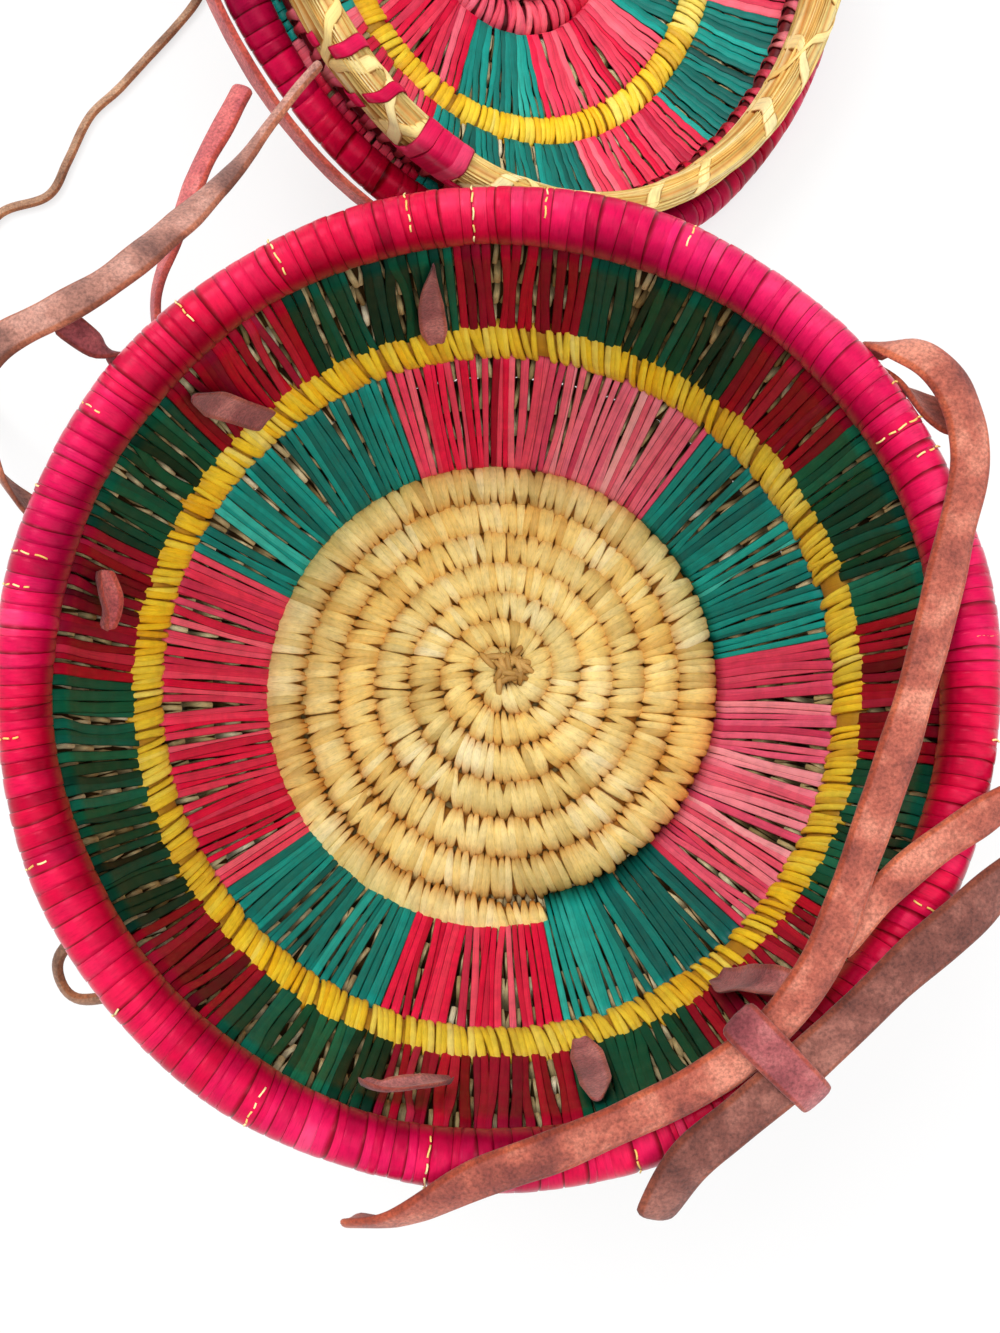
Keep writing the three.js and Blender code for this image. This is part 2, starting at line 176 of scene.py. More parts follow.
def attribute(tree, name):
    """A number from 0 to 1 that each point carries."""
    node = tree.nodes.new("ShaderNodeAttribute")
    node.attribute_name = name
    return node.outputs["Fac"]


print("a middle grey in linear values", round(srgb("808080")[0], 3))

# %% [markdown]
# One function makes every strip finish: raw straw, yellow, crimson, teal, green and the glossy rim
# differ only in their tones, their gloss and how strongly the fibres show. A second number paints
# shade into the creases where strips press against each other.

# %% Strip finishes
STREAKS_ACROSS = 7.0
STREAKS_ALONG = 0.9
PATCH_SCALE = 160.0
PATCH_SHARE = 0.5
FIBRE_HEIGHT = 0.2 * MM
FIBRE_BUMP = 0.3


def strip_material(name, tones, drift, roughness, gloss, fibre, crease_shade_colours=("FFFFFF", "8A7060", "241810")):
    """Wrapped plant strip. Tones and drift run from the darkest strips to the palest, and the number
    hue goes from the one to the other. Fibre is the strength of the streaks, and the last tuple gives
    the colours of the painted shade that the crease number adds."""
    material, tree, shader = new_material(name, roughness)
    places = [(i + 0.5) / len(tones) for i in range(len(tones))]
    shade = attribute(tree, "shade")
    near = ramp(tree, shade, list(zip(places, map(srgb, tones))))
    far = ramp(tree, shade, list(zip(places, map(srgb, drift))))
    by_strip = mixed(tree, attribute(tree, "hue"), near, far)
    fine = streaks(tree, STREAKS_ACROSS, STREAKS_ALONG)
    lines = ramp(tree, fine, [(0.3, grey(0.5)), (0.46, grey(1)), (0.72, grey(1.3))])
    streaked = mixed(tree, fibre, by_strip, lines, "MULTIPLY")
    patches = ramp(tree, object_noise(tree, PATCH_SCALE), [(0.34, grey(0.72)), (0.6, grey(1.1))])
    wear_and_painted_light = mixed(tree, PATCH_SHARE, streaked, patches, "MULTIPLY")
    # Painted shade: the crease number darkens each strip where it presses against its neighbours.
    painted_crease_shade = ramp(tree, attribute(tree, "crease_shade"), list(zip((0.0, 0.5, 1.0), map(srgb, crease_shade_colours))))
    tree.links.new(mixed(tree, 1.0, wear_and_painted_light, painted_crease_shade, "MULTIPLY"), shader.inputs["Base Color"])
    shader.inputs["Specular IOR Level"].default_value = gloss
    bump(tree, shader, fine, FIBRE_BUMP, FIBRE_HEIGHT)
    return material


straw = strip_material(
    "raw_straw", ["D6A650", "F2C668", "FCD87A", "FFE490", "FFEDAC"],
    ["BEA25C", "D6BE74", "E6D088", "F0DE9E", "F6E8B4"], 0.5, 0.25, 0.4,
    ("FFFFFF", "DCA262", "6A4826"))
# Straw in painted shade, for the coils and grass that show only between and under the strips.
straw_shadow = strip_material(
    "straw_under_strips", ["8C7648", "B49C68", "D2BC86", "E6D6A6", "F4EAC8"],
    ["7E6C4C", "A4926C", "C8B88E", "DCCFAA", "ECE4CC"], 0.75, 0.1, 0.8,
    ("FFFFFF", "7C6440", "1E140C"))
yellow = strip_material(
    "yellow_strip", ["E4A214", "FAC21A", "FFD422", "FFE03A", "FFEC70"],
    ["CCA638", "E0C03C", "EED03A", "F6DC50", "F8E880"], 0.45, 0.25, 0.3,
    ("FFFFFF", "C08A3A", "3A280E"))
crimson = strip_material(
    "crimson_strip", ["A00428", "CA0834", "E60E40", "F2204C", "FA4A6C"],
    ["D83C66", "F05C80", "FA7C92", "FF98A4", "FFBCBC"], 0.4, 0.18, 0.5)
# The outer band's crimson is a darker dye, with the shade of the steep wall under the rim painted in as well.
crimson_dark_dye_and_painted_shade = strip_material(
    "dark_crimson_strip", ["4E0010", "88021A", "A60222", "BC0428", "CC1034"],
    ["500420", "7A0628", "940C34", "A8163C", "BC3850"], 0.5, 0.08, 0.5)
teal = strip_material(
    "teal_strip", ["02463E", "04665C", "078074", "0A968A", "28B4A4"],
    ["045E5A", "078078", "0A9C90", "16B0A2", "48C8B8"], 0.4, 0.22, 0.5)
# Dark green dye, with the shade of the steep wall under the rim painted in as well.
green = strip_material(
    "green_strip", ["011A10", "033020", "054830", "075A3C", "1A6C4A"],
    ["02281C", "044034", "075646", "0A6A56", "1E8068"], 0.5, 0.08, 0.5)
rim_wrap = strip_material(
    "rim_wrap", ["8E001C", "B4022A", "CC0A38", "DA1644", "E83A60"],
    ["98023A", "BA084C", "D0105A", "DE226A", "EA5486"], 0.28, 0.32, 0.4,
    ("FFFFFF", "B07880", "3C1018"))
rim_shader = rim_wrap.node_tree.nodes["Principled BSDF"]
rim_shader.inputs["Specular Tint"].default_value = srgb("FF7896")
print("strip finishes", [m.name for m in bpy.data.materials if m.name.endswith(("strip", "wrap"))])

# %% [markdown]
# Leather here is soft suede, pink-brown, with a warmer tint at its cut edges. A fine grain and a slow
# change of colour come from noise on the piece's own place.

# %% Leather finish
GRAIN_SCALE = 1000.0
GRAIN_HEIGHT = 0.5 * MM


def leather_material(name, dark, middle, pale):
    """Soft suede in three tones from worn to clean, with a napped grain."""
    material, tree, shader = new_material(name, 0.85)
    slow = ramp(tree, object_noise(tree, 52.0, 8.0),
                [(0.34, srgb(dark)), (0.5, srgb(middle)), (0.66, srgb(pale))])
    grain = object_noise(tree, GRAIN_SCALE, 6.0)
    speckle = ramp(tree, grain, [(0.34, grey(0.5)), (0.5, grey(0.95)), (0.64, grey(1.3))])
    napped = mixed(tree, 0.8, slow, speckle, "MULTIPLY")
    edge = ramp(tree, attribute(tree, "shade"), [(0.0, srgb("F0C49C")), (0.3, grey(1)), (1.0, grey(1))])
    tree.links.new(mixed(tree, 0.9, napped, edge, "MULTIPLY"), shader.inputs["Base Color"])
    shader.inputs["Specular IOR Level"].default_value = 0.2
    shader.inputs["Sheen Weight"].default_value = 0.2
    shader.inputs["Sheen Roughness"].default_value = 0.6
    bump(tree, shader, grain, 0.6, GRAIN_HEIGHT)
    return material


leather = leather_material("pink_suede", "7C3A32", "B05C4A", "D88A72")
dark_leather = leather_material("dark_suede", "78343A", "A45456", "CC807C")
grey_leather = leather_material("grey_suede", "7C5248", "B07A6A", "D4A090")
red_leather = leather_material("red_suede", "A84850", "D06866", "EC9890")
brown_leather = leather_material("brown_suede", "502822", "78443A", "A66A5C")
thong_leather = leather_material("thong_hide", "6E4A36", "9C7258", "C69C7C")
print("leather finishes", [m.name for m in bpy.data.materials if m.name.endswith(("suede", "hide"))])

# %% [markdown]
# ## Mesh helpers
# Wound work repeats a plain shape hundreds of times along a path. By hand that would be an array
# and a curve modifier; here one grid of points per strip keeps every strip its own closed shape, and
# lets each carry a number for its colour.

# %% Mesh helpers
def deselect():
    """Nothing stays selected, so that an operator acts on one piece only."""
    for obj in bpy.context.selected_objects:
        obj.select_set(False)


def make_active(obj):
    """The one piece that the next operator acts on."""
    deselect()
    obj.select_set(True)
    bpy.context.view_layer.objects.active = obj


def quads(copies, rows, columns, rows_closed=True):
    """The faces of a number of grids of points, rows by columns, closed across the columns."""
    r = np.arange(rows if rows_closed else rows - 1)
    r, c = np.meshgrid(r, np.arange(columns), indexing="ij")
    r2, c2 = (r + 1) % rows, (c + 1) % columns
    one = np.stack([r * columns + c, r * columns + c2, r2 * columns + c2, r2 * columns + c], axis=-1)
    one = one.reshape(-1, 4)
    starts = np.arange(copies) * rows * columns
    return (one[None] + starts[:, None, None]).reshape(-1, 4)


def open_tube(rows, sides):
    """The faces of one open tube of points, with a face over each end."""
    ends = [np.arange(sides)[::-1], np.arange(sides) + (rows - 1) * sides]
    return list(quads(1, rows, sides, rows_closed=False)) + ends


def about_axis(radius, azimuth, height):
    """Points at a radius, azimuth and height about the upright axis."""
    radius, azimuth, height = np.broadcast_arrays(radius, azimuth, height)
    return np.stack([radius * np.cos(azimuth), radius * np.sin(azimuth), height], -1)


def dress(obj, look, body, nodes):
    """Gives a finished piece its look and body, and hides the nodes it stands for."""
    obj.data.materials.clear()
    obj.data.materials.append(look)
    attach(obj, body)
    if nodes:
        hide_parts(*nodes)
    return obj


print("a grid of 3 by 4 points has", len(quads(1, 3, 4)), "faces")

# %% [markdown]
# Each wound piece is gathered from plain shapes. A shape carries three numbers for its colour: shade
# picks a tone, the crease number paints shade where strips press together, and hue drifts to the
# second set of tones.
# Neighbouring strips get UV places far apart, so that no two show the same fibres.

# %% Shapes and pieces
UV_APART = 1.7
UV_SPREAD = 50


class Shape:
    """Points with their faces, UV places and the three numbers that colour them."""

    def __init__(self, points, faces, uv, shade, crease_shade, hue=None):
        self.points = points.reshape(-1, 3)
        self.faces = [list(map(int, f)) for f in faces]
        self.uv = uv.reshape(-1, 2)
        self.shade = shade.ravel()
        self.crease_shade = crease_shade.ravel()
        self.hue = self.shade * 0 if hue is None else (hue + 0 * crease_shade).ravel()


def new_piece(name, shapes, matrix=None):
    """A mesh piece from one or more shapes, moved by a matrix."""
    points, faces, start = [], [], 0
    for shape in shapes:
        points.append(moved(shape.points, matrix))
        faces.extend([[i + start for i in f] for f in shape.faces])
        start += len(shape.points)
    mesh = bpy.data.meshes.new(name)
    mesh.from_pydata(np.concatenate(points).tolist(), [], faces)
    layer = mesh.uv_layers.new(name="strip")
    corners = np.empty(len(mesh.loops), int)
    mesh.loops.foreach_get("vertex_index", corners)
    uv = np.concatenate([shape.uv for shape in shapes])
    layer.data.foreach_set("uv", uv[corners].astype(np.float32).ravel())
    for key in ("shade", "crease_shade", "hue"):
        values = np.concatenate([getattr(shape, key) for shape in shapes])
        mesh.attributes.new(key, "FLOAT", "POINT").data.foreach_set("value", values.astype(np.float32))
    mesh.polygons.foreach_set("use_smooth", np.ones(len(mesh.polygons), bool))
    obj = bpy.data.objects.new(name, mesh)
    bpy.context.collection.objects.link(obj)
    return obj


def drifting(places, every, seed):
    """Numbers from 0 to 1 that change slowly along a path and a little from place to place."""
    random = np.random.default_rng(seed)
    knots = random.beta(0.7, 0.7, int(places.max() / every) + 2)
    slow = np.interp(places / every, np.arange(len(knots)), knots)
    return np.clip(slow + random.normal(0, 0.12, len(places)), 0, 1)


def grouped_tones(random, members, groups, spread):
    """A tone for each strip, half its group's and half its own."""
    shared = random.beta(2, 2, groups)[members]
    return np.clip(0.5 * shared + 0.5 * random.beta(spread, spread, len(members)), 0, 1)


def face_outwards(obj):
    """Turns all faces outwards."""
    make_active(obj)
    bpy.ops.object.mode_set(mode="EDIT")
    bpy.ops.mesh.select_all(action="SELECT")
    bpy.ops.mesh.normals_make_consistent(inside=False)
    bpy.ops.object.mode_set(mode="OBJECT")


def moved(points, matrix):
    """Points moved by a matrix, or left where they are."""
    if matrix is None:
        return points
    m = np.array(matrix)
    return points @ m[:3, :3].T + m[:3, 3]


print("numbers that drift", drifting(np.linspace(0, 1, 5), 0.5, 1).round(2))

# %% [markdown]
# ## Where the open lid lies
# The lid is modelled as if closed on the bowl, which is easy to think about. The joints say how it
# turns from where it lies open to there, so the opposite turn lays each lid piece in its place.

# %% The open lid's place
def turn_about(point, axis, angle):
    """Turn by an angle in radians about a line through a point."""
    there = Matrix.Translation(Vector(point))
    return there @ Matrix.Rotation(angle, 4, Vector(axis)) @ there.inverted()


joints = {j["name"]: j for j in frame["joints"]}
ratios = {c["joint"]: c["ratio"] for c in frame["record"]["behaviour"]["couplings"]}
swing_angle = math.radians(joints["lid_swing"]["range_deg"][1])
lean_angle = swing_angle * ratios["lid_lean"]
close_swing = turn_about(joints["lid_swing"]["pos_m"], joints["lid_swing"]["axis"], swing_angle)
close_lean = turn_about(joints["lid_lean"]["pos_m"], joints["lid_lean"]["axis"], lean_angle)
LID = (close_swing @ close_lean).inverted()
print("open lid's middle", [round(v, 4) for v in LID @ Vector((0, 0, 0.1557))])

# %% [markdown]
# ## Coils and their stitches
# A coil is a bundle of grass that runs in a ring or a spiral. Its line is kept as rows of azimuth,
# radius, height and half sizes. The bundle itself is a plain tube, and every stitch is a thin closed
# band laid round it, broad on the crown and pointed where it dives between two coils.

# %% Coil lines
RING_STEPS = 360
SPIRAL_STEP = 0.03
SPIRAL_START = 0.32
END_TURNS = 0.03
END_WIDTH = 0.6
START_WIDTH = 0.5


def ring_line(radius, height, half_along, half_across):
    """A closed coil: azimuth, radius, height, half sizes and the shift of its middle."""
    azimuth = np.linspace(0, 2 * np.pi, RING_STEPS + 1)
    values = [v + 0 * azimuth for v in (radius, height, half_along, half_across, 0, 0)]
    return np.stack([azimuth, *values], 1)


def spiral_line(first_pitch, growth, turns, height, half_across, end_azimuth, shift):
    """An open coil that leaves the middle and ends at an azimuth. Growth is added to the pitch each
    turn."""
    turn = np.append(np.arange(SPIRAL_START, turns, SPIRAL_STEP), turns)
    azimuth = math.radians(end_azimuth) + 2 * np.pi * (turn - turns)
    radius = first_pitch * turn + growth * turn ** 2 / 2
    pitch = first_pitch + growth * turn
    taper = np.clip((turns - turn) / END_TURNS, END_WIDTH, 1)
    taper = taper * np.clip((turn - 0.2) / 0.4, START_WIDTH, 1)
    fade = 1 - radius / radius[-1]
    one = np.ones_like(turn)
    return np.stack([azimuth, radius, height * one, pitch * 0.5 * taper, half_across * taper ** 0.5,
                     shift[0] * fade, shift[1] * fade], 1)


def along_line(line):
    """Distance along a coil's line."""
    step = np.diff(line[:, 0]) * (line[1:, 1] + line[:-1, 1]) / 2
    return np.concatenate([[0], np.cumsum(step)])


def at_distance(line, far):
    """The line's values at given distances."""
    total = along_line(line)
    return np.stack([np.interp(far, total, line[:, k]) for k in range(line.shape[1])], -1)


def on_section(values, azimuth, angle, lift, tilt, power):
    """Points on a coil's section. Angle 0 is along the tilt, a quarter turn is out of the wall."""
    wide = np.sign(np.cos(angle)) * np.abs(np.cos(angle)) ** power
    tall = np.sign(np.sin(angle)) * np.abs(np.sin(angle)) ** power
    along = (values[..., 3] + lift) * wide
    across = (values[..., 4] + lift) * tall
    radius = values[..., 1] + along * math.cos(tilt) - across * math.sin(tilt)
    height = values[..., 2] + along * math.sin(tilt) + across * math.cos(tilt)
    x = values[..., 5] + radius * np.cos(azimuth)
    y = values[..., 6] + radius * np.sin(azimuth)
    return np.stack([x, y, height], -1)


print("a ring's length in millimetres", round(along_line(ring_line(0.1, 0, 0, 0))[-1] / MM))

# %% [markdown]
# A coil is two things: a plain core, and the stitches wrapped over it. Real stitches pass into the
# next coil, so each one here narrows where the coils meet, and painted shade darkens it there and
# along its edges. They are thin closed bands, and their widths, slants and colours are drawn with
# fixed seeds.

# %% Tube and stitches
TUBE_STEP = 4 * MM
TUBE_UV = 300


def tube(line, tilt, power, sides, closed, shrink, seed, dark=0.7):
    """The bundle itself, as a plain tube a little inside its stitches. It shows only between them, so
    it takes the darker half of the tones, and dark sets how much painted shade it gets.
    """
    total = along_line(line)[-1]
    rows = int(total / TUBE_STEP)
    far = np.arange(rows) / rows * total if closed else np.linspace(0, total, rows)
    values = at_distance(line, far)[:, None]
    angle = np.arange(sides)[None] / sides * 2 * np.pi
    points = on_section(values, values[..., 0], angle, -shrink, tilt, power)
    faces = quads(1, rows, sides) if closed else open_tube(rows, sides)
    uv = np.stack([far[:, None] * TUBE_UV + 0 * angle, angle * 0.4 + 0 * far[:, None]], -1)
    random = np.random.default_rng(seed)
    shade = random.uniform(0.0, 0.5, (rows, sides))
    return Shape(points, faces, uv, shade, np.full((rows, sides), dark), np.ones((rows, sides)))


BAND_PROFILE = np.array([(-0.5, -0.4), (-0.36, 0.6), (0, 1.0), (0.36, 0.6), (0.5, -0.4), (0, -0.6)])
BAND_CREASE_SHADE = np.array([0.8, 0.05, 0.0, 0.05, 0.8, 1.0])
BAND_WIDTHS = (0.8, 1.15)
SLANT_SPREAD = 0.3
LEAST_RADIUS = 4 * MM


def stitches(line, spacing, width, thick, tilt=0.0, power=1.0, pointed=0.7, slant=0.0, teeth=0.0,
             loose=0.1, rows=14, seed=1, group=7, ends=0.5, bare=0.0):
    """Thin closed bands round a coil. Width, slant and teeth are in metres, and teeth is how far the
    points reach out. Ends says how much painted shade darkens a stitch where it dives, and bare which
    share is left out."""
    random = np.random.default_rng(seed)
    total = along_line(line)[-1]
    count = int(total / spacing)
    far = (np.arange(count) + 0.5) / count * total + random.normal(0, loose * spacing, count)
    far = far[drifting(far, 0.02, seed + 5) >= bare]
    count = len(far)
    values = at_distance(line, np.clip(far, 0, total))[:, None, None]
    angle = ((np.arange(rows) + 0.5) / rows * 2 * np.pi)[None, :, None]
    side = np.abs(np.cos(angle))
    wide = width * random.uniform(*BAND_WIDTHS, count)[:, None, None] * (1 - pointed * side ** 5)
    lean = (slant + random.normal(0, SLANT_SPREAD * spacing, count))[:, None, None] * np.cos(angle)
    offset = BAND_PROFILE[:, 0][None, None] * wide + lean
    lift = BAND_PROFILE[:, 1][None, None] * thick * (0.4 + 0.6 * (1 - side ** 2))
    lift = lift + random.uniform(0, 0.5 * thick, count)[:, None, None]
    reach = teeth * random.uniform(0.1, 1, (count, 1, 1)) * side ** 6
    azimuth = values[..., 0] + offset / np.maximum(values[..., 1], LEAST_RADIUS)
    points = on_section(values, azimuth, angle + 0 * offset, lift + reach, tilt, power)
    tone = grouped_tones(random, np.arange(count) // group, count // group + 2, 1.6)
    u = BAND_PROFILE[:, 0][None, None] + np.arange(count)[:, None, None] * UV_APART + 0 * angle
    v = angle * 3 + random.uniform(0, UV_SPREAD, count)[:, None, None] + 0 * offset
    # Painted shade on the band's edges and underside, and on its ends where it dives between coils.
    crease_shade = np.maximum(BAND_CREASE_SHADE[None, None] * side ** 2, ends * side ** 4) + 0 * offset
    hue = drifting(far, 0.05, seed + 9)[:, None, None]
    return Shape(points, quads(count, rows, 6), np.stack([u, v], -1), tone[:, None, None] + 0 * u,
                 np.clip(crease_shade, 0, 1), hue)


def stitched_coil(name, line, spacing, look, slot_name, body, nodes, matrix=None, tilt=0.0, power=1.0,
                  closed=True, seed=1, width=1.15, thick=0.9 * MM, dark=0.7, **more):
    """A coil with its stitches as one piece. Width is a share of the spacing."""
    core = tube(line, tilt, power, 12, closed, 0.6 * MM, seed, dark=dark)
    bands = stitches(line, spacing, spacing * width, thick, tilt, power, seed=seed + 1, **more)
    obj = new_piece(name, [core, bands], matrix)
    print(name, "stitches", len(bands.faces) // (14 * len(BAND_PROFILE)), "faces", len(obj.data.polygons))
    return dress(obj, look, body, nodes)

# %% [markdown]
# ## The bowl's sizes
# These are the bowl's own sizes, in millimetres turned to metres, from its foot up to its rim.

# %% Bowl sizes
BOWL_HEIGHT = 148 * MM
RIM_RADIUS = 150 * MM
RIM_COIL = 8.5 * MM
WALL = 14 * MM
FLOOR_HALF = 7 * MM
FLOOR_PITCH = 11.5 * MM
FLOOR_GROWTH = 0.72 * MM
FLOOR_TURNS = 7.0
FLOOR_END = -78.0
SPIRAL_SHIFT = (3.4 * MM, 9.5 * MM)
YELLOW_RADIUS = 137.2 * MM
YELLOW_HEIGHT = 66 * MM
GIRTH_RADIUS = 143.3 + 7 + 0.55 + 1.2
GIRTH_HEIGHT = 104
RIM_CENTRE = RIM_RADIUS - RIM_COIL
RIM_HEIGHT = BOWL_HEIGHT - RIM_COIL
INNER_LINE = [(103.6, 12), (118, 32), (134.1, 59.3)]
OUTER_LINE = [(139.05, 73.2), (143.3, 100), (141.8, 130.6)]
print("bowl", RIM_RADIUS * 2 / MM, "across and", BOWL_HEIGHT / MM, "high")

# %% [markdown]
# ## The straw floor
# The floor is one long coil, started a little off the middle and sewn outwards to the left. Its rows
# grow wider as they go, and the last one rises a little and ends in a small step near the front.

# %% Spiral floor
LAST_ROW = [80 * MM, 99 * MM]
LAST_ROW_RISE = [0, 4.6 * MM]
ABOVE_GROUND = 0.7 * MM
ROW_OVERLAP = 1.05
ROW_FLATNESS = 0.92
floor_line = spiral_line(FLOOR_PITCH, FLOOR_GROWTH, FLOOR_TURNS, FLOOR_HALF, FLOOR_HALF, FLOOR_END,
                         SPIRAL_SHIFT)
floor_line[:, 2] = FLOOR_HALF + ABOVE_GROUND + np.interp(floor_line[:, 1], LAST_ROW, LAST_ROW_RISE)
floor_line[:, 3] *= ROW_OVERLAP
floor_line[:, 4] *= ROW_FLATNESS
stitched_coil("straw_floor", floor_line, 3.2 * MM, straw, "straw", "bowl", ["center_disc"], closed=False,
              pointed=0.6, thick=0.8 * MM, width=1.45, slant=0.8 * MM, teeth=3 * MM, loose=0.12, seed=7,
              ends=0.5)

# %% [markdown]
# Between the stitches the loose grass of the coils shows. A low disc under the rows stands for it, so
# that no gap looks through to the ground. It is a cylinder with its edges bevelled.

# %% Grass behind the floor
GRASS_RADIUS = 99 * MM
GRASS_DEPTH = 4 * MM
GRASS_MIDDLE = 6 * MM
GRASS_BEVEL = 1.2 * MM
deselect()
bpy.ops.mesh.primitive_cylinder_add(vertices=96, radius=GRASS_RADIUS, depth=GRASS_DEPTH,
                                    location=(0, 0, GRASS_MIDDLE))
grass_core = bpy.context.object
grass_core.name = "floor_grass_core"
bpy.ops.object.transform_apply(location=True, rotation=True, scale=True)
bpy.ops.object.mode_set(mode="EDIT")
bpy.ops.mesh.bevel(offset=GRASS_BEVEL, segments=2)
bpy.ops.object.mode_set(mode="OBJECT")
dress(grass_core, straw_shadow, "bowl", [])
print("grass core faces", len(grass_core.data.polygons))

# %% [markdown]
# The first turns are sewn loosely, so a small knot of crossed straws covers the middle. Each straw is
# a thin spindle, laid at random, and their places are drawn with a fixed seed.

# %% Tuft at the start of the spiral
TUFT_STRAWS = 30
STRAW_HALF = 5.5 * MM
STRAW_FAT = 1.3 * MM
STRAW_ROUND = 0.9 * MM
TUFT_HEIGHT = 12.8 * MM
TUFT_ARCH = 2.2 * MM
TUFT_PILE = 1.2 * MM
TUFT_SPREAD = (4.5 * MM, 2.8 * MM)
random_tuft = np.random.default_rng(4)


def tuft_straw(number):
    """One straw as a spindle with a random place and direction."""
    turn = random_tuft.uniform(0, 2 * np.pi)
    here = (SPIRAL_SHIFT[0] + random_tuft.normal(1 * MM, TUFT_SPREAD[0]),
            SPIRAL_SHIFT[1] + random_tuft.normal(0, TUFT_SPREAD[1]))
    t = np.linspace(-1, 1, 9)[:, None]
    angle = (np.arange(6) / 6 * 2 * np.pi)[None]
    spindle = (1 - t ** 2) ** 0.5
    fat = (STRAW_FAT * spindle + 0.1 * MM) * np.cos(angle)
    x = here[0] + t * STRAW_HALF * math.cos(turn) - fat * math.sin(turn)
    y = here[1] + t * STRAW_HALF * math.sin(turn) + fat * math.cos(turn)
    arch = TUFT_HEIGHT + TUFT_ARCH * (1 - t ** 2)
    z = arch + STRAW_ROUND * np.sin(angle) * spindle + random_tuft.uniform(0, TUFT_PILE)
    blank = np.zeros((9, 6))
    uv = np.stack([angle + number + 0 * t, t * 2 + 0 * angle], -1)
    return Shape(np.stack([x, y, z], -1), open_tube(9, 6), uv, blank + random_tuft.uniform(0, 0.5),
                 blank + 0.3, blank + 1)


tuft = new_piece("floor_tuft", [tuft_straw(k) for k in range(TUFT_STRAWS)])
dress(tuft, straw, "bowl", [])
print("tuft straws", TUFT_STRAWS, "faces", len(tuft.data.polygons))

# %% [markdown]
# The inner wall's strips start from under the floor's last row. How far that row reaches depends on
# the azimuth, because it is a spiral.

# %% Floor's edge
def floor_edge(azimuth):
    """How far out the floor reaches at an azimuth in radians."""
    share = ((azimuth - math.radians(FLOOR_END)) / (2 * np.pi)) % 1
    turn = FLOOR_TURNS - 1 + share
    return FLOOR_PITCH * (turn + 0.5) + FLOOR_GROWTH * (turn ** 2 + turn) / 2


print("floor edge", [round(float(floor_edge(math.radians(a))) / MM, 1) for a in (-70, 0, 90, 180, -85)])

# %% [markdown]
# ## Wound rims
# A rim is a thick bundle wound edge to edge with flat glossy strips. Its turns differ in width, each
# has a slightly crowned back, and a fine line of painted shade parts it from the next. Its top carries
# a painted highlight and its inner side painted shade.

# %% Rim winding
TURN_PARTS = np.array([0.0, 0.035, 0.3, 0.65, 0.965])
TURN_CROWN = np.array([-1.0, 0.1, 0.3, 0.3, 0.1])
TURN_CREASE_SHADE = np.array([0.8, 0.0, 0.0, 0.0, 0.0])
TURN_RISE = 0.3 * MM
TURN_LEAN = 0.6 * MM
TURN_LIFT = 0.12 * MM
HAND_SLOW = 0.35 * MM
HAND_QUICK = 0.28 * MM


def wound_rim(name, radius, height, coil, turns, body, nodes, matrix=None, sides=24, inset=0.0, seed=3):
    """A ring wound with flat turns of uneven width. Inset is how much thinner it is than its solid."""
    random = np.random.default_rng(seed)
    widths = random.uniform(0.5, 1.5, turns)
    edges = np.concatenate([[0], np.cumsum(widths)]) / widths.sum() * 2 * np.pi
    parts = len(TURN_PARTS)
    azimuth = (edges[:-1, None] + np.diff(edges)[:, None] * TURN_PARTS[None]).ravel()[:, None]
    angle = np.arange(sides)[None] / sides * 2 * np.pi
    lift = np.repeat(random.uniform(-1, 1, turns), parts)[:, None]
    bulge = np.tile(TURN_CROWN, turns)[:, None] * TURN_RISE + lift * TURN_LIFT
    hand = HAND_SLOW * np.sin(azimuth * 5 + 1) + HAND_QUICK * np.sin(azimuth * 11)
    reach = coil - TURN_RISE - inset + bulge + hand
    slant = np.repeat(random.normal(1, 1.2, turns), parts)[:, None]
    turned = azimuth + TURN_LEAN / radius * np.sin(angle) * slant
    points = about_axis(radius + reach * np.cos(angle), turned, height + reach * np.sin(angle))
    by_turn = 0.38 + 0.4 * (drifting(edges[:-1], 0.16, seed + 2) - 0.5) + random.normal(0, 0.06, turns)
    # Painted light: a painted highlight on the bundle's top and painted shade on its inner side.
    wear_and_painted_light = 0.22 * np.sin(angle) + 0.3 * np.minimum(np.cos(angle), 0)
    tone = np.clip(np.repeat(by_turn, parts)[:, None] + wear_and_painted_light, 0, 1)
    hue = 0.75 * np.repeat(drifting(edges[:-1], 0.4, seed + 3), parts)[:, None] + 0 * angle
    u = np.repeat(np.arange(turns) * UV_APART, parts) + np.tile(TURN_PARTS, turns)
    u = u[:, None] + 0 * angle
    v = angle * 2 + 0 * azimuth
    crease_shade = np.tile(TURN_CREASE_SHADE, turns)[:, None] + 0 * angle
    faces = quads(1, turns * parts, sides)
    shape = Shape(points, faces, np.stack([u, v], -1), tone, crease_shade, hue)
    obj = new_piece(name, [shape], matrix)
    print(name, "turns", turns, "faces", len(obj.data.polygons))
    return dress(obj, rim_wrap, body, nodes)


RIM_TURNS = 205
wound_rim("rim_winding", RIM_CENTRE, RIM_HEIGHT, RIM_COIL, RIM_TURNS, "bowl", ["rim"], seed=3)

# %% [markdown]
# Between some turns a pale straw shows as a row of short dashes. Each dash is a thin closed sliver
# that lies in the groove between two turns.

# %% Straws between the turns
DASH_WIDTH = 0.6 * MM
DASH_WAVE = 0.2 * MM
DASH_SIDE = np.array([[-0.5, 0, 0.5, 0]])
DASH_RISE = np.array([[0, 0.25, 0, -0.4]])
RIM_STRAWS = [4, 27, 31, 36, 66, 84, 93, 101, 118, 131, 147, 158, 166, 170, 188, 203, 222, 241, 262, 286,
              306, 331, 352]


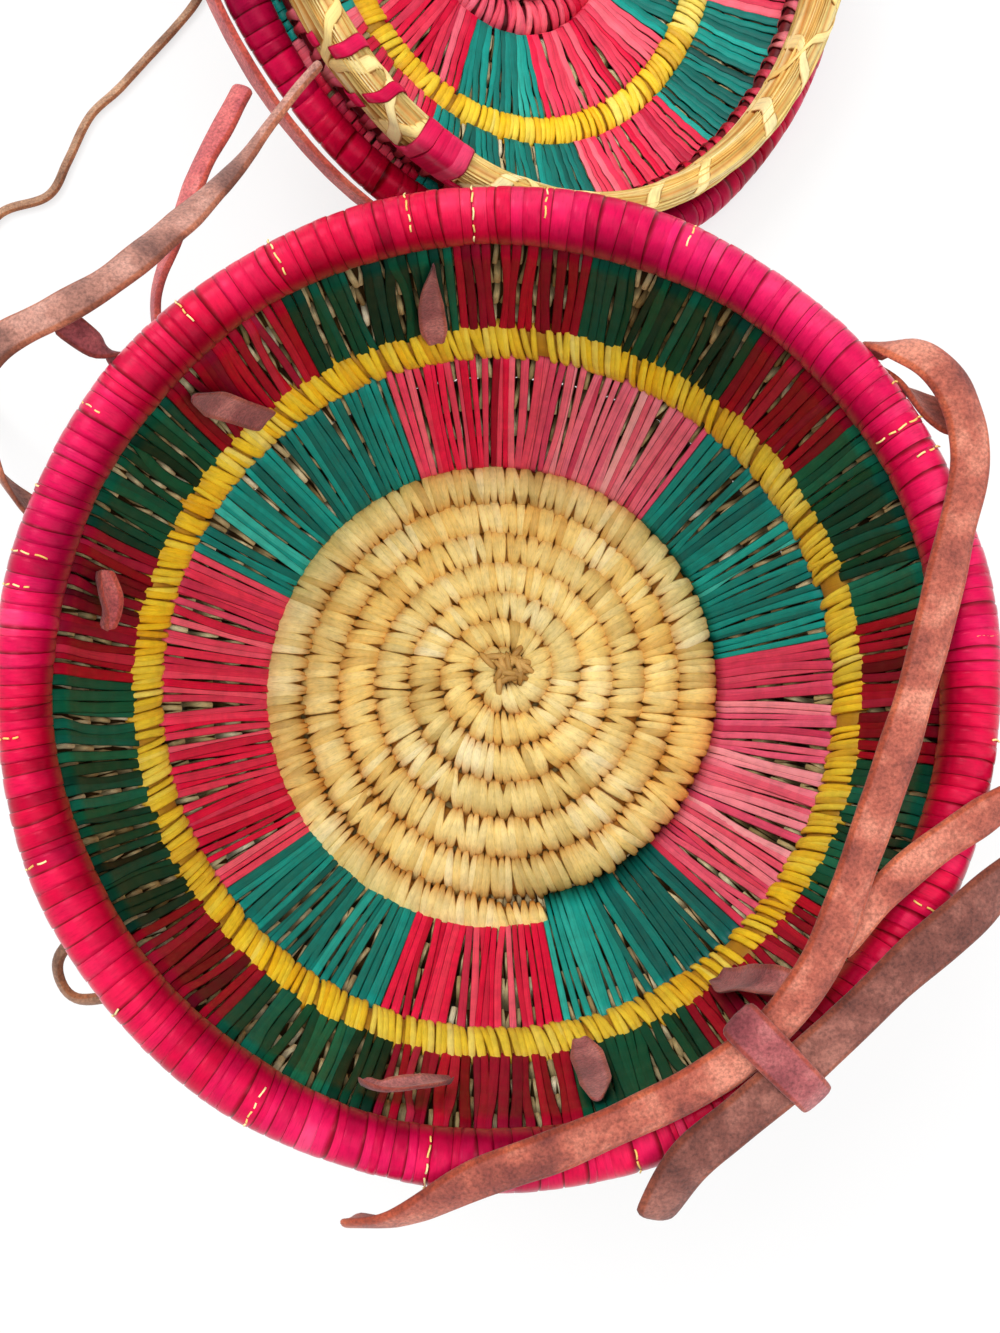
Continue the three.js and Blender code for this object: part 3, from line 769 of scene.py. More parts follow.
def groove_dashes(name, radius, height, coil, azimuths, body):
    """Dashes of straw across the rim at the given azimuths in degrees."""
    random = np.random.default_rng(70)
    shapes = []
    for azimuth in azimuths:
        start = random.uniform(-10, 40)
        for _ in range(random.integers(3, 7)):
            length = random.uniform(10, 24)
            angle = np.radians(start + np.linspace(0, length, 4))[:, None]
            start += length + random.uniform(4, 12)
            side = DASH_SIDE * DASH_WIDTH + DASH_WAVE * np.sin(angle * 9)
            reach = coil + DASH_RISE * MM
            points = about_axis(radius + reach * np.cos(angle), np.radians(azimuth) + side / radius,
                                height + reach * np.sin(angle))
            blank = np.zeros((4, 4))
            uv = np.stack([blank, angle + blank], -1)
            shapes.append(Shape(points, open_tube(4, 4), uv, blank + random.uniform(0.3, 1), blank))
    obj = new_piece(name, shapes)
    dress(obj, straw, body, [])
    print(name, "dashes", len(shapes))


groove_dashes("rim_straws", RIM_CENTRE, RIM_HEIGHT, RIM_COIL, RIM_STRAWS, "bowl")

# %% [markdown]
# Between the two walls runs a plump coil wound in yellow. Its strips are slanted and uneven, and their
# points reach over the strips beside it. It stands a little inwards of the wall.

# %% Yellow ring
WALL_LEAN = math.radians(70)
YELLOW_INWARD = 1.9 * MM
YELLOW_UP = 1.8 * MM
lean_sine, lean_cosine = math.sin(WALL_LEAN), math.cos(WALL_LEAN)
yellow_line = ring_line(YELLOW_RADIUS - YELLOW_INWARD * lean_sine + YELLOW_UP * lean_cosine,
                        YELLOW_HEIGHT + YELLOW_INWARD * lean_cosine + YELLOW_UP * lean_sine,
                        10.2 * MM, 8.4 * MM)
stitched_coil("yellow_winding", yellow_line, 2.4 * MM, yellow, "yellow_strip", "bowl", ["yellow_ring"],
              tilt=WALL_LEAN, power=0.85, pointed=0.45, slant=2.2 * MM, teeth=3.2 * MM, thick=0.9 * MM,
              width=1.3, loose=0.3, seed=5, bare=0.015, dark=0.35)

# %% [markdown]
# ## Walls of coils under long strips
# A wall is a stack of straw coils, and its colour comes from long flat strips that pass from the
# inside face over the stack to the outside face and back. They fan out from a narrow foot, so straw
# shows between small groups of them higher up. Each strip is a closed thin loop.

# %% Wall line
COIL_RELIEF = 0.3 * MM
PAST_EDGE = 0.4 * MM


def wall_places(line, count):
    """Even places along a wall's middle line, with the direction square to it."""
    pts = np.array(line) * MM
    t = np.linspace(0, 1, count)[:, None]
    bend = 2 * pts[1] - (pts[0] + pts[2]) / 2
    curve = (1 - t) ** 2 * pts[0] + 2 * t * (1 - t) * bend + t ** 2 * pts[2]
    along = np.gradient(curve, axis=0)
    along /= np.linalg.norm(along, axis=1)[:, None]
    return curve, along, np.stack([-along[:, 1], along[:, 0]], axis=1)


def wall_loop(line, thick, coils, steps):
    """Radius and height, outward direction and wall share of points all round a wall's section."""
    places, along, inward = wall_places(line, steps)
    share = np.linspace(0, 1, steps)
    half = thick / 2 - COIL_RELIEF * np.cos(2 * np.pi * coils * share)
    inner = places + inward * half[:, None]
    outer = places - inward * half[:, None]
    top = [places[-1] + along[-1] * PAST_EDGE + inward[-1] * half[-1] * k for k in (0.6, -0.6)]
    foot = [places[0] - along[0] * PAST_EDGE - inward[0] * half[0] * k for k in (0.6, -0.6)]
    loop = np.concatenate([inner, top, outer[::-1], foot])
    normal = np.concatenate([inward, [along[-1]] * 2, -inward[::-1], [-along[0]] * 2])
    shares = np.concatenate([share, [1.0, 1.0], share[::-1], [0.0, 0.0]])
    return loop, normal, shares


print("middle of the outer wall", (wall_places(OUTER_LINE, 3)[0][1] / MM).round(1))

# %% [markdown]
# A strip's own section is a flat hexagon, written as shares of its width and heights in metres. The
# strips are set out evenly round the wall. Then each small group slants its own way, and every strip
# is shifted and bowed a little, as a hand would lay it. Where the wall meets the floor, a strip gets
# one more place that dives under the floor's edge.

# %% Long strips
STRIP_PROFILE = np.array([(-0.5, 0.0), (-0.4, 0.0003), (0.4, 0.0003), (0.5, 0.0), (0.4, -0.0002),
                          (-0.4, -0.0002)])
# Painted shade on each strip's edges and underside, where it meets its neighbours and the coils.
STRIP_CREASE_SHADE = np.array([0.45, 0.0, 0.0, 0.45, 1.0, 1.0])
STRIP_STEPS = 13
FLAT_FOOT = 14.3 * MM
DIVE = 4.5 * MM
UNDER_EDGE = 1 * MM
PIVOT_SHARE = 0.15
FAN_SPREAD = 0.22
SHIFT_SPREAD = 0.12
BOW_SPREAD = 0.2
STRIP_LIFTS = (0.1 * MM, 0.9 * MM)
STRIP_WIDTHS = (0.8, 1.2)


def strip_places(random, start, end, count, shares, fan):
    """The azimuth of each strip at each share of the wall, with its middle and the group it is in."""
    step = (end - start) / count
    middle = start + (np.arange(count) + 0.5) * step
    sizes = random.integers(2, 7, count)
    group = np.searchsorted(np.cumsum(sizes), np.arange(count), side="right")
    inside = np.clip(np.minimum(np.arange(count), np.arange(count)[::-1]) / 2, 0, 1)
    way = random.uniform(0.3, 1, count) * np.where(np.arange(count) % 2, -1, 1)
    slant = (way[group] * 0.5 * fan + random.normal(0, FAN_SPREAD, count)) * step * inside
    shift = random.normal(0, SHIFT_SPREAD, count) * step * inside
    bow = random.normal(0, BOW_SPREAD, count) * step * inside
    azimuth = (middle + shift)[:, None] + slant[:, None] * (shares - PIVOT_SHARE)[None]
    return azimuth + bow[:, None] * np.sin(np.pi * shares)[None], middle, group


def strips(line, thick, coils, block, pitch, cover, seed=11, grow=0.1, fan=1.6, foot_edge=None, hues=None):
    """A block of long strips round a wall. Block is its first and last azimuth in degrees. Cover is
    the strips' width as a share of the pitch, and grow how much wider they are at the top. Hues is a
    table of azimuths and drifts, and without it each strip draws its own."""
    random = np.random.default_rng(seed)
    start, end = np.radians(block[0]), np.radians(block[1])
    loop, normal, shares = wall_loop(line, thick, coils, STRIP_STEPS)
    foot_radius = loop[:, 0].min()
    count = max(2, int(round((end - start) * foot_radius / pitch)))
    azimuth, middle, group = strip_places(random, start, end, count, shares, fan)
    lift = random.uniform(*STRIP_LIFTS, count)[:, None]
    radius = loop[None, :, 0] + normal[None, :, 0] * lift + 0 * azimuth
    height = loop[None, :, 1] + normal[None, :, 1] * lift + 0 * azimuth
    if foot_edge is not None:
        reach = np.minimum(foot_edge(azimuth[:, :1]) - UNDER_EDGE, foot_radius)
        radius = np.concatenate([reach, radius], 1)
        height = np.concatenate([np.full((count, 1), FLAT_FOOT - DIVE) + lift, height], 1)
        azimuth = np.concatenate([azimuth[:, :1], azimuth], 1)
        normal = np.concatenate([[(0.0, 1.0)], normal])
        shares = np.concatenate([[0.0], shares])
    wide = pitch * cover * random.uniform(*STRIP_WIDTHS, count)[:, None] * (1 + grow * shares[None])
    wide = wide * (1 + 0.05 * np.sin(6 * shares[None] + random.uniform(0, 6, count)[:, None]))
    out = np.stack([np.cos(azimuth), np.sin(azimuth)], axis=-1)
    side = np.stack([-np.sin(azimuth), np.cos(azimuth)], axis=-1)
    across = STRIP_PROFILE[:, 0][None, None, :, None] * wide[..., None, None] * side[:, :, None]
    raised = STRIP_PROFILE[:, 1][None, None, :, None] * normal[None, :, None, 0:1] * out[:, :, None]
    flat = (radius[..., None] * out)[:, :, None] + across + raised
    tall = height[:, :, None] + STRIP_PROFILE[:, 1][None, None] * normal[None, :, None, 1]
    points = np.concatenate([flat, tall[..., None]], axis=-1)
    along = shares[None, :, None]
    u = np.arange(count)[:, None, None] * UV_APART + STRIP_PROFILE[:, 0][None, None] + 0 * along
    v = along * 3 + random.uniform(0, UV_SPREAD, count)[:, None, None] + 0 * u
    tone = grouped_tones(random, group, count, 1.5)
    crease_shade = STRIP_CREASE_SHADE[None, None] + 0 * u
    hue = random.beta(1, 2, count) if hues is None else np.interp(np.degrees(middle) % 360, *hues)
    hue = np.clip(hue + random.normal(0, 0.16, count), 0, 1)
    return Shape(points, quads(count, len(shares), 6), np.stack([u, v], -1), tone[:, None, None] + 0 * u,
                 crease_shade, hue[:, None, None])


trial = strips(OUTER_LINE, WALL, 4, (0, 30), 3 * MM, 1.0)
print("strips in a trial block of 30 degrees", len(trial.faces) // ((2 * STRIP_STEPS + 4) * 6))

# %% [markdown]
# Under the strips lie the straw coils themselves. They are rings here, one for each coil, with their
# own small stitches, and they lean with the wall.

# %% Straw coils
COIL_SPACING = 2.9 * MM
COIL_STITCH = 2.5 * MM
COIL_STITCH_THICK = 0.5 * MM


def straw_coils(name, line, thick, coils, body, nodes, matrix=None, seed=20, extra=()):
    """The bare coils that show between the strips, as one piece."""
    places, along, _ = wall_places(line, 2 * coils + 1)
    tilt = math.atan2(along[coils][1], along[coils][0])
    half = np.linalg.norm(places[2] - places[0]) / 2
    shapes = []
    lines = [ring_line(*places[2 * k + 1], half, thick / 2 - 0.6 * MM) for k in range(coils)]
    leans = [tilt] * coils + [0.0] * len(extra)
    for k, (line_k, lean) in enumerate(zip(lines + list(extra), leans)):
        shapes.append(tube(line_k, lean, 0.8, 10, True, 0.5 * MM, seed + k))
        shapes.append(stitches(line_k, COIL_SPACING, COIL_STITCH, COIL_STITCH_THICK, lean, 0.8,
                               pointed=0.2, rows=8, seed=seed + 40 + k, ends=0.3))
    obj = new_piece(name, shapes, matrix)
    print(name, "coils", len(lines) + len(extra), "faces", len(obj.data.polygons))
    return dress(obj, straw_shadow, body, nodes)


print("a small stitch every", COIL_SPACING / MM, "mm")

# %% [markdown]
# The blocks change colour at the azimuths below, counted in degrees from the right-hand side. The
# second colour's blocks are the frame's own sleeves, and the first colour fills what is between.

# %% Blocks of colour
INNER_TEAL = [(8, 50), (110, 156), (217, 250), (281, 315)]
OUTER_GREEN = [(9, 35), (52, 77), (96, 120), (140, 160), (180, 215.5), (231.5, 254), (281, 300),
               (325, 348)]
LID_INNER_TEAL = [(67, 97), (146, 176), (236, 266), (340, 376)]
LID_OUTER_TEAL = [(1, 31), (61, 102), (130, 162), (190, 222), (250, 280), (308, 336)]


def between(blocks):
    """The stretches left between the blocks."""
    starts = [b[0] for b in blocks[1:]] + [blocks[0][0] + 360]
    return [(block[1], start) for block, start in zip(blocks, starts)]


def band(prefix, line, thick, coils, blocks, first, first_slot, second, second_slot, node, node_second,
         body, matrix=None, pitch=2.6 * MM, cover=1.1, seed=30, extra=(), **more):
    """A wall: its straw coils, the strips of the first colour and the blocks of the second."""
    straw_coils(prefix + "_coils", line, thick, coils, body, [node], matrix, seed, extra)
    shapes = [strips(line, thick, coils, block, pitch, cover, seed=seed + 50 + k, **more)
              for k, block in enumerate(between(blocks))]
    whole = new_piece(prefix + "_strips", shapes, matrix)
    dress(whole, first, body, [node])
    for k, block in enumerate(blocks):
        shape = strips(line, thick, coils, block, pitch, cover, seed=seed + 90 + k, **more)
        obj = new_piece(f"{prefix}_block_{k + 1}", [shape], matrix)
        dress(obj, second, body, [f"{node_second}_{k + 1}"])
    print(prefix, "first colour", len(whole.data.polygons), "faces, blocks", len(blocks))


foot_coil = ring_line(92 * MM, 5.2 * MM, 6.5 * MM, 4.0 * MM)
foot_filler = ring_line(102 * MM, 8.0 * MM, 6.0 * MM, 5.5 * MM)
RED_DRIFT = ([0, 8, 50, 62, 76, 90, 110, 156, 190, 217, 250, 281, 315, 322, 335, 350, 360],
             [0.5, 0.2, 1.0, 1.0, 0.8, 0.2, 0.1, 0.35, 0.15, 0.1, 0.05, 0.0, 0.6, 0.5, 0.9, 0.95, 0.5])
band("inner", INNER_LINE, WALL, 4, INNER_TEAL, crimson, "crimson_strip", teal, "teal_strip",
     "inner_band", "inner_teal", "bowl", seed=100, foot_edge=floor_edge, extra=[foot_coil, foot_filler],
     hues=RED_DRIFT)
band("outer", OUTER_LINE, WALL, 4, OUTER_GREEN, crimson_dark_dye_and_painted_shade, "dark_crimson_strip", green, "green_strip",
     "outer_band", "outer_green", "bowl", pitch=3.4 * MM, cover=0.97, seed=300, grow=0.02, fan=1.25)

# %% [markdown]
# ## The lid
# The lid repeats the bowl's order on a shallow dome: coils at its crown, a band of strips, a yellow
# ring, a wider band and a wound rim. Under the rim sits the collar that drops into the bowl's mouth.

# %% Lid sizes
LID_PLANE = 155.69
LID_RIM_CENTRE = 136 * MM
LID_RIM_COIL = 8 * MM
LID_WALL = 12 * MM
LID_YELLOW_RADIUS = 88.3 * MM
LID_YELLOW_HEIGHT = (LID_PLANE + 28.5) * MM
LID_OUTER_LINE = [(129, LID_PLANE + 4.7), (110, LID_PLANE + 17.5), (94, LID_PLANE + 25.6)]
LID_INNER_LINE = [(82.4, LID_PLANE + 31.05), (66, LID_PLANE + 37), (48.4, LID_PLANE + 41.5)]
LID_CROWN_HEIGHT = (LID_PLANE + 42.3) * MM
COLLAR_RADIUS = 126.6 * MM
COLLAR_COIL = 5.3 * MM
COLLAR_COIL_HEIGHT = (LID_PLANE + 1 - 5.3) * MM
COLLAR_TOP = (LID_PLANE + 1 - 10.6 - 0.35) * MM
COLLAR_LOW = (LID_PLANE - 28) * MM
LID_LEAN = math.radians(-26)
LID_DRIFT = ([0, 90, 180, 270, 360], [0.3, 0.1, 0.35, 0.15, 0.3])
lid_across = (LID_RIM_CENTRE + LID_RIM_COIL) * 2 / MM
print("lid", round(lid_across), "across, its rim", LID_PLANE, "high when closed")

# %% [markdown]
# The lid's pieces are made with the lid closed, and a matrix carries each one to its open place. Its
# windings use the bowl's helpers with smaller measures.

# %% Lid coils, bands and rim
wound_rim("lid_rim_winding", LID_RIM_CENTRE, LID_PLANE * MM, LID_RIM_COIL, 150, "lid", ["lid_rim"], LID,
          sides=20, inset=0.6 * MM, seed=13)
lid_yellow_line = ring_line(LID_YELLOW_RADIUS, LID_YELLOW_HEIGHT, 7.4 * MM, 7.2 * MM)
stitched_coil("lid_yellow_winding", lid_yellow_line, 2.5 * MM, yellow, "yellow_strip", "lid",
              ["lid_yellow_ring"], LID, tilt=LID_LEAN, power=0.8, pointed=0.45, slant=1.5 * MM,
              teeth=2.2 * MM, thick=0.8 * MM, width=1.25, loose=0.25, seed=15, dark=0.35)
collar_line = ring_line(COLLAR_RADIUS - COLLAR_COIL, COLLAR_COIL_HEIGHT, COLLAR_COIL, COLLAR_COIL)
stitched_coil("lid_collar_stitching", collar_line, 5.2 * MM, crimson, "crimson_strip", "lid",
              ["lid_collar_coil"], LID, tilt=0.0, pointed=0.5, slant=1.5 * MM, teeth=0.4 * MM, thick=0.8 * MM,
              width=0.9, loose=0.25, seed=17)
band("lid_inner", LID_INNER_LINE, LID_WALL, 3, LID_INNER_TEAL, crimson, "crimson_strip", teal, "teal_strip",
     "lid_inner_band", "lid_inner_teal", "lid", LID, pitch=1.9 * MM, cover=1.35, seed=500, grow=0.35,
     hues=LID_DRIFT)
band("lid_outer", LID_OUTER_LINE, LID_WALL, 4, LID_OUTER_TEAL, crimson, "crimson_strip", teal, "teal_strip",
     "lid_outer_band", "lid_outer_teal", "lid", LID, pitch=2.5 * MM, cover=1.4, seed=700, grow=-0.2,
     hues=LID_DRIFT)
heart_line = spiral_line(6.2 * MM, 0.4 * MM, 2.6, LID_CROWN_HEIGHT + 1 * MM, 6 * MM, 120, (0, 0))
stitched_coil("lid_heart", heart_line, 3.0 * MM, yellow, "yellow_strip", "lid", ["lid_heart_coil"], LID,
              closed=False, pointed=0.7, thick=0.9 * MM, teeth=1 * MM, seed=21)
crown_shapes = []
for k, ring_radius in enumerate((26.8, 40.6)):
    crown_line = ring_line(ring_radius * MM, LID_CROWN_HEIGHT + (0.6 - k) * MM, 6.9 * MM, 6.2 * MM)
    crown_shapes.append(tube(crown_line, 0.0, 1.0, 12, True, 0.8 * MM, 23 + k))
    crown_shapes.append(stitches(crown_line, 2.6 * MM, 3.2 * MM, 1 * MM, pointed=0.35, loose=0.25,
                                 teeth=1.2 * MM, seed=27 + k))
crown = new_piece("lid_crown_coils", crown_shapes, LID)
dress(crown, crimson, "lid", ["lid_crimson_coils"])

# %% [markdown]
# ## The straw collar
# The collar is a bundle of loose straws held by flat pale ties that cross in long slants, with a few
# lashings of the rim's colour. The bundle is a ring with straw grooves along it, and each tie is a
# thin band wound round and round.

# %% Collar
COLLAR_THICK = 10 * MM
COLLAR_POWER = 0.5
STRAWS_ROUND = 28
STRAW_GROOVE = -0.6 * MM
STRAW_CROWN = 0.2 * MM
STRAW_WANDER = 0.45 * MM
WIND_STEPS = 36
TIE_HALF = 0.3 * MM


def collar_section(angle, clear):
    """Radius and height round the collar's section, standing clear of it by a distance."""
    tall = (COLLAR_TOP - COLLAR_LOW) / 2 + clear
    across = COLLAR_THICK / 2 + clear
    wide = np.sign(np.cos(angle)) * np.abs(np.cos(angle)) ** COLLAR_POWER
    high = np.sign(np.sin(angle)) * np.abs(np.sin(angle)) ** COLLAR_POWER
    return COLLAR_RADIUS - COLLAR_THICK / 2 + across * wide, (COLLAR_LOW + COLLAR_TOP) / 2 + tall * high


def bundle():
    """A ring of straws lying along it, with a tall rounded section."""
    random = np.random.default_rng(31)
    rows, sides = 400, 3 * STRAWS_ROUND
    angle = np.arange(sides)[None] / sides * 2 * np.pi
    azimuth = np.arange(rows)[:, None] / rows * 2 * np.pi
    groove = np.where(np.arange(sides) % 3 == 0, STRAW_GROOVE, STRAW_CROWN)[None]
    waves = azimuth * random.integers(2, 26, sides)[None]
    wander = STRAW_WANDER * np.sin(waves + random.uniform(0, 6, sides)[None])
    radius, height = collar_section(angle, groove + wander)
    points = about_axis(radius, azimuth, height)
    uv = np.stack([0 * azimuth + np.arange(sides)[None] * 0.8, azimuth * 3 + 0 * angle], -1)
    shade = np.clip(random.beta(2, 2, sides)[None] + 0.2 * np.sin(azimuth * 9 + angle * 4), 0, 1)
    # Painted shade in the grooves between the straws.
    crease_shade = np.where(np.arange(sides) % 3 == 0, 0.5, 0.03)[None] + 0 * azimuth
    hue = np.clip(0.5 + 0.5 * np.sin(azimuth * 5 + 1) * np.sin(angle * 3 + azimuth * 2), 0, 1)
    return Shape(points, quads(1, rows, sides), uv, shade, crease_shade, hue)


def collar_winding(start, turns, every, width, clear, seed):
    """One long flat tie wound round the bundle. Every is how far a turn moves along, in degrees."""
    random = np.random.default_rng(seed)
    far = np.arange(int(turns * WIND_STEPS)) / WIND_STEPS
    knots = np.arange(0, turns + 1, 0.5)
    wander = np.interp(far, knots, random.normal(0, abs(every) * 0.12, len(knots)))
    angle = (far * 2 * np.pi)[:, None]
    wide = width * (1 + 0.25 * np.interp(far, knots, random.uniform(-1, 1, len(knots))))
    middle = np.radians(start + every * far + wander)[:, None]
    offset = middle + BAND_PROFILE[:, 0][None] * wide[:, None] / COLLAR_RADIUS
    radius, height = collar_section(angle, clear + BAND_PROFILE[:, 1][None] * TIE_HALF)
    points = about_axis(radius, offset, height)
    uv = np.stack([BAND_PROFILE[:, 0][None] + seed * UV_APART + 0 * angle, angle * 1.5 + 0 * offset], -1)
    tone = np.interp(far, knots, random.uniform(0.5, 1, len(knots)))[:, None]
    # Painted shade along the tie's edges and underside.
    crease_shade = 0.5 * BAND_CREASE_SHADE[None] + 0 * offset
    return Shape(points, open_tube(len(far), 6), uv, tone + 0 * offset, crease_shade, 0.3 + 0 * offset)


collar = new_piece("collar_straws", [bundle()], LID)
dress(collar, straw, "lid", ["lid_straw_collar"])
ties = new_piece("collar_ties", [collar_winding(4, 24, 15.0, 7.2 * MM, 0.2 * MM, 61),
                                 collar_winding(190, 8, -15.5, 5.6 * MM, 0.5 * MM, 62),
                                 collar_winding(20, 5, -16.0, 5.4 * MM, 0.5 * MM, 63)], LID)
dress(ties, straw, "lid", [])
LASHINGS = ((126, 1, 9, 4.5), (117.5, 1, 9, 5), (110, 1, 9, 5), (98, 4.2, 2.2, 7))
lashing = new_piece("collar_lashings", [collar_winding(a, turns, every, wide * MM, 1.0 * MM, 90 + k)
                                       for k, (a, turns, every, wide) in enumerate(LASHINGS)], LID)
dress(lashing, rim_wrap, "lid", [])
print("collar bindings", len(ties.data.polygons), "lashings", len(LASHINGS))

# %% [markdown]
# ## Leather straps
# A strap is a flat ribbon of hide that keeps some thickness, cups a little and has soft cut edges. Its
# route is a smooth curve through given points, and its flat side turns from up to outwards as
# it goes over the rim. A subdivision surface rounds the edges.

# %% Strap maker
def smooth_route(stops, count):
    """Places on a smooth curve through the stops, evenly spaced, and the curve's length."""
    p = np.array(stops, float)
    padded = np.vstack([2 * p[0] - p[1], p, 2 * p[-1] - p[-2]])
    fine = []
    t = np.linspace(0, 1, 24, endpoint=False)[:, None]
    for i in range(len(p) - 1):
        a, b, c, d = padded[i:i + 4]
        cubic = (3 * b - a - 3 * c + d) * t ** 3
        fine.append(0.5 * (2 * b + (c - a) * t + (2 * a - 5 * b + 4 * c - d) * t ** 2 + cubic))
    fine = np.vstack([*fine, p[-1:]])
    far = np.r_[0, np.cumsum(np.linalg.norm(np.diff(fine[:, :3], axis=0), axis=1))]
    places = np.linspace(0, far[-1], count)
    return np.stack([np.interp(places, far, fine[:, k]) for k in range(p.shape[1])], axis=1), far[-1]


STRAP_THICK = 2.4 * MM
NAP = 0.06 * MM
STRAP_PROFILE = np.array([
    (-0.5, 0.1), (-0.44, 0.45), (-0.22, 0.5), (0, 0.5), (0.22, 0.5), (0.44, 0.45), (0.5, 0.1),
    (0.5, -0.2), (0.44, -0.5), (0.15, -0.5), (-0.15, -0.5), (-0.44, -0.5), (-0.5, -0.2)])


def strap_shape(stops, width, thick=STRAP_THICK, taper=(1, 1), cup=0.6 * MM, seed=51, per=3 * MM,
                ragged=0.05, ends=(0.12, 0.88)):
    """Stops are [x, y, z, lean] in millimetres: lean is 0 where the flat side faces up and 1 where it
    faces away from the bowl's axis. Taper is the share of the width at each end, ends where the full
    width is reached, cup how much the middle stands proud, and per the length of one row."""
    random = np.random.default_rng(seed)
    route = np.array(stops, float) * [MM, MM, MM, 1]
    _, total = smooth_route(route, 10)
    count = max(6, int(total / per))
    values, length = smooth_route(route, count)
    place, lean = values[:, :3], values[:, 3]
    along = np.gradient(place, axis=0)
    along /= np.linalg.norm(along, axis=1)[:, None]
    away = place * [1, 1, 0]
    away /= np.linalg.norm(away, axis=1)[:, None]
    face = (1 - lean)[:, None] * np.array([0, 0, 1.0]) + lean[:, None] * away
    face -= along * (face * along).sum(1)[:, None]
    face /= np.linalg.norm(face, axis=1)[:, None]
    side = np.cross(along, face)
    share = np.linspace(0, 1, count)
    wave = sum(random.uniform(-1, 1) * np.sin(share * f * length * 60 + random.uniform(0, 6))
               for f in (1, 2, 4))
    wide = width * (1 + ragged * wave) * np.interp(share, [0, *ends, 1], [taper[0], 1, 1, taper[1]])
    nap = random.normal(0, NAP, (count, len(STRAP_PROFILE)))
    bend = cup * (1 - (2 * STRAP_PROFILE[:, 0]) ** 2)
    flat = STRAP_PROFILE[:, 0][None, :, None] * wide[:, None, None] * side[:, None]
    rise = (STRAP_PROFILE[:, 1] * thick + bend)[None] + nap
    points = place[:, None] + flat + rise[..., None] * face[:, None]
    u = STRAP_PROFILE[:, 0][None] + 0 * share[:, None]
    shade = np.tile(np.where(np.abs(STRAP_PROFILE[:, 0]) > 0.43, 0.0, 1.0), (count, 1))
    uv = np.stack([u, share[:, None] * length * 20 + 0 * u], -1)
    return Shape(points, open_tube(count, len(STRAP_PROFILE)), uv, shade, 0 * shade), place


def leather_piece(name, shapes, look, body, nodes, matrix=None):
    """One or more strap shapes as a finished piece with rounded edges."""
    obj = new_piece(name, shapes, matrix)
    face_outwards(obj)
    rounding = obj.modifiers.new("round", "SUBSURF")
    rounding.levels = rounding.render_levels = 1
    bpy.ops.object.modifier_apply(modifier=rounding.name)
    print(name, "faces", len(obj.data.polygons))
    return dress(obj, look, body, nodes)


def leather_strap(name, stops, width, look, body, nodes, matrix=None, slot_name="leather_strap", **more):
    """One strap as a finished piece, with the places along its middle."""
    shape, place = strap_shape(stops, width, **more)
    return leather_piece(name, [shape], look, body, nodes, matrix), place


print("strap section of", len(STRAP_PROFILE), "points,", STRAP_THICK / MM, "mm thick")

# %% [markdown]
# Each route repeats the frame's strap, stop by stop. Three straps lie loose over the rim, and a keeper
# holds two of them together. The others hang between the bowl and the lid.

# %% Strap routes
ON_RIM = 149.55
ON_STRAP = 152.4
slack_stops = [
    (115, 102, 136, 0.6), (120.5, 100, 144, 0.3), (127, 94.8, 149, 0.05), (133, 87, 150.8, 0),
    (136.4, 79.5, 150.4, 0.1), (138.6, 71, 149.8, 0), (138.4, 59.5, ON_RIM, 0),
    (133.7, 41.5, ON_RIM, 0), (125.7, 12.6, 150.2, 0), (115.2, -19.1, 151.2, 0), (102.9, -50.5, ON_STRAP, 0),
    (91, -79.5, ON_STRAP, 0), (75, -101, 150.2, 0), (57, -114, ON_RIM, 0), (38.5, -123, ON_RIM, 0),
    (17, -132, ON_RIM, 0), (-5.8, -140, ON_RIM, 0.1), (-27, -151, 147, 0.6), (-43, -154.5, 141, 0.9),
]
slack_fold_stops = [
    (119.4, 98.5, 131, 0.7), (126, 90.5, 138, 0.6), (131.5, 83.5, 141, 0.3), (136, 79, 143.5, 0),
    (139, 74, 146.4, -0.2),
]
double_stops = [
    (161.5, -42, 126, 1), (153.5, -50, 143, 0.7), (136, -65, 150, 0), (115, -81, ON_STRAP, 0),
    (100, -94.5, 153, 0), (83, -109.5, 152.8, 0), (66.5, -123, ON_STRAP, 0), (53, -134, ON_STRAP, 0.1),
    (43.5, -151, 148, 0.5),
]
fold_stops = [
    (160.5, -24, 132, 1), (152, -31, 147, 0.6), (138, -40, 149.8, 0.05), (123, -50, ON_RIM, 0),
    (109, -62, ON_RIM, 0), (95, -77, ON_RIM, 0),
]
keeper_stops = [
    (66.5, -94.5, 151, 0), (70, -98, 155.2, 0), (78.5, -106.5, 156.2, 0), (86, -114, 155.2, 0),
    (90, -118.5, 150, 0),
]
long_stops = [
    (-142.5, 47.9, 121, 0.9), (-154, 62, 132, 0.6), (-157, 82, 142, 0.3), (-149, 95, 150, 0),
    (-130, 106.5, 150, 0), (-116.5, 117.8, 146, 0), (-105.4, 135.5, 136, 0), (-97, 153.7, 124, 0.1),
    (-87, 173.4, 114, 0.35), (-78.5, 190, 109, 0.5), (-68.5, 204, 109, 0.3), (-60, 210.5, 113, 0),
]
side_stops = [
    (-109.4, 103.1, 120, 0.9), (-113, 125, 117, 0.8), (-111, 148, 109, 0.5), (-104, 177, 104, 0.3),
    (-96.5, 195, 102, 0.2), (-90, 211, 100, 0.2),
]
short_stops = [(-131, 105.5, 146.8, 0.2), (-124, 101, 138, 0.3), (-115.2, 97.4, 126, 0.8)]
side_thong_stops = [
    (-128.4, -78.4, 123, 0.5), (-138, -90, 119, 0.5), (-133, -102, 116, 0.5), (-113.4, -99.1, 118, 0.5),
]
print("stops of the long routes", len(slack_stops), len(double_stops), len(long_stops))

# %% [markdown]
# Each strap has its own leather and a width taken from the photograph. The slack strap is folded at
# its end, so a second short strap lies across it.

# %% Straps
NEARER = 2.5


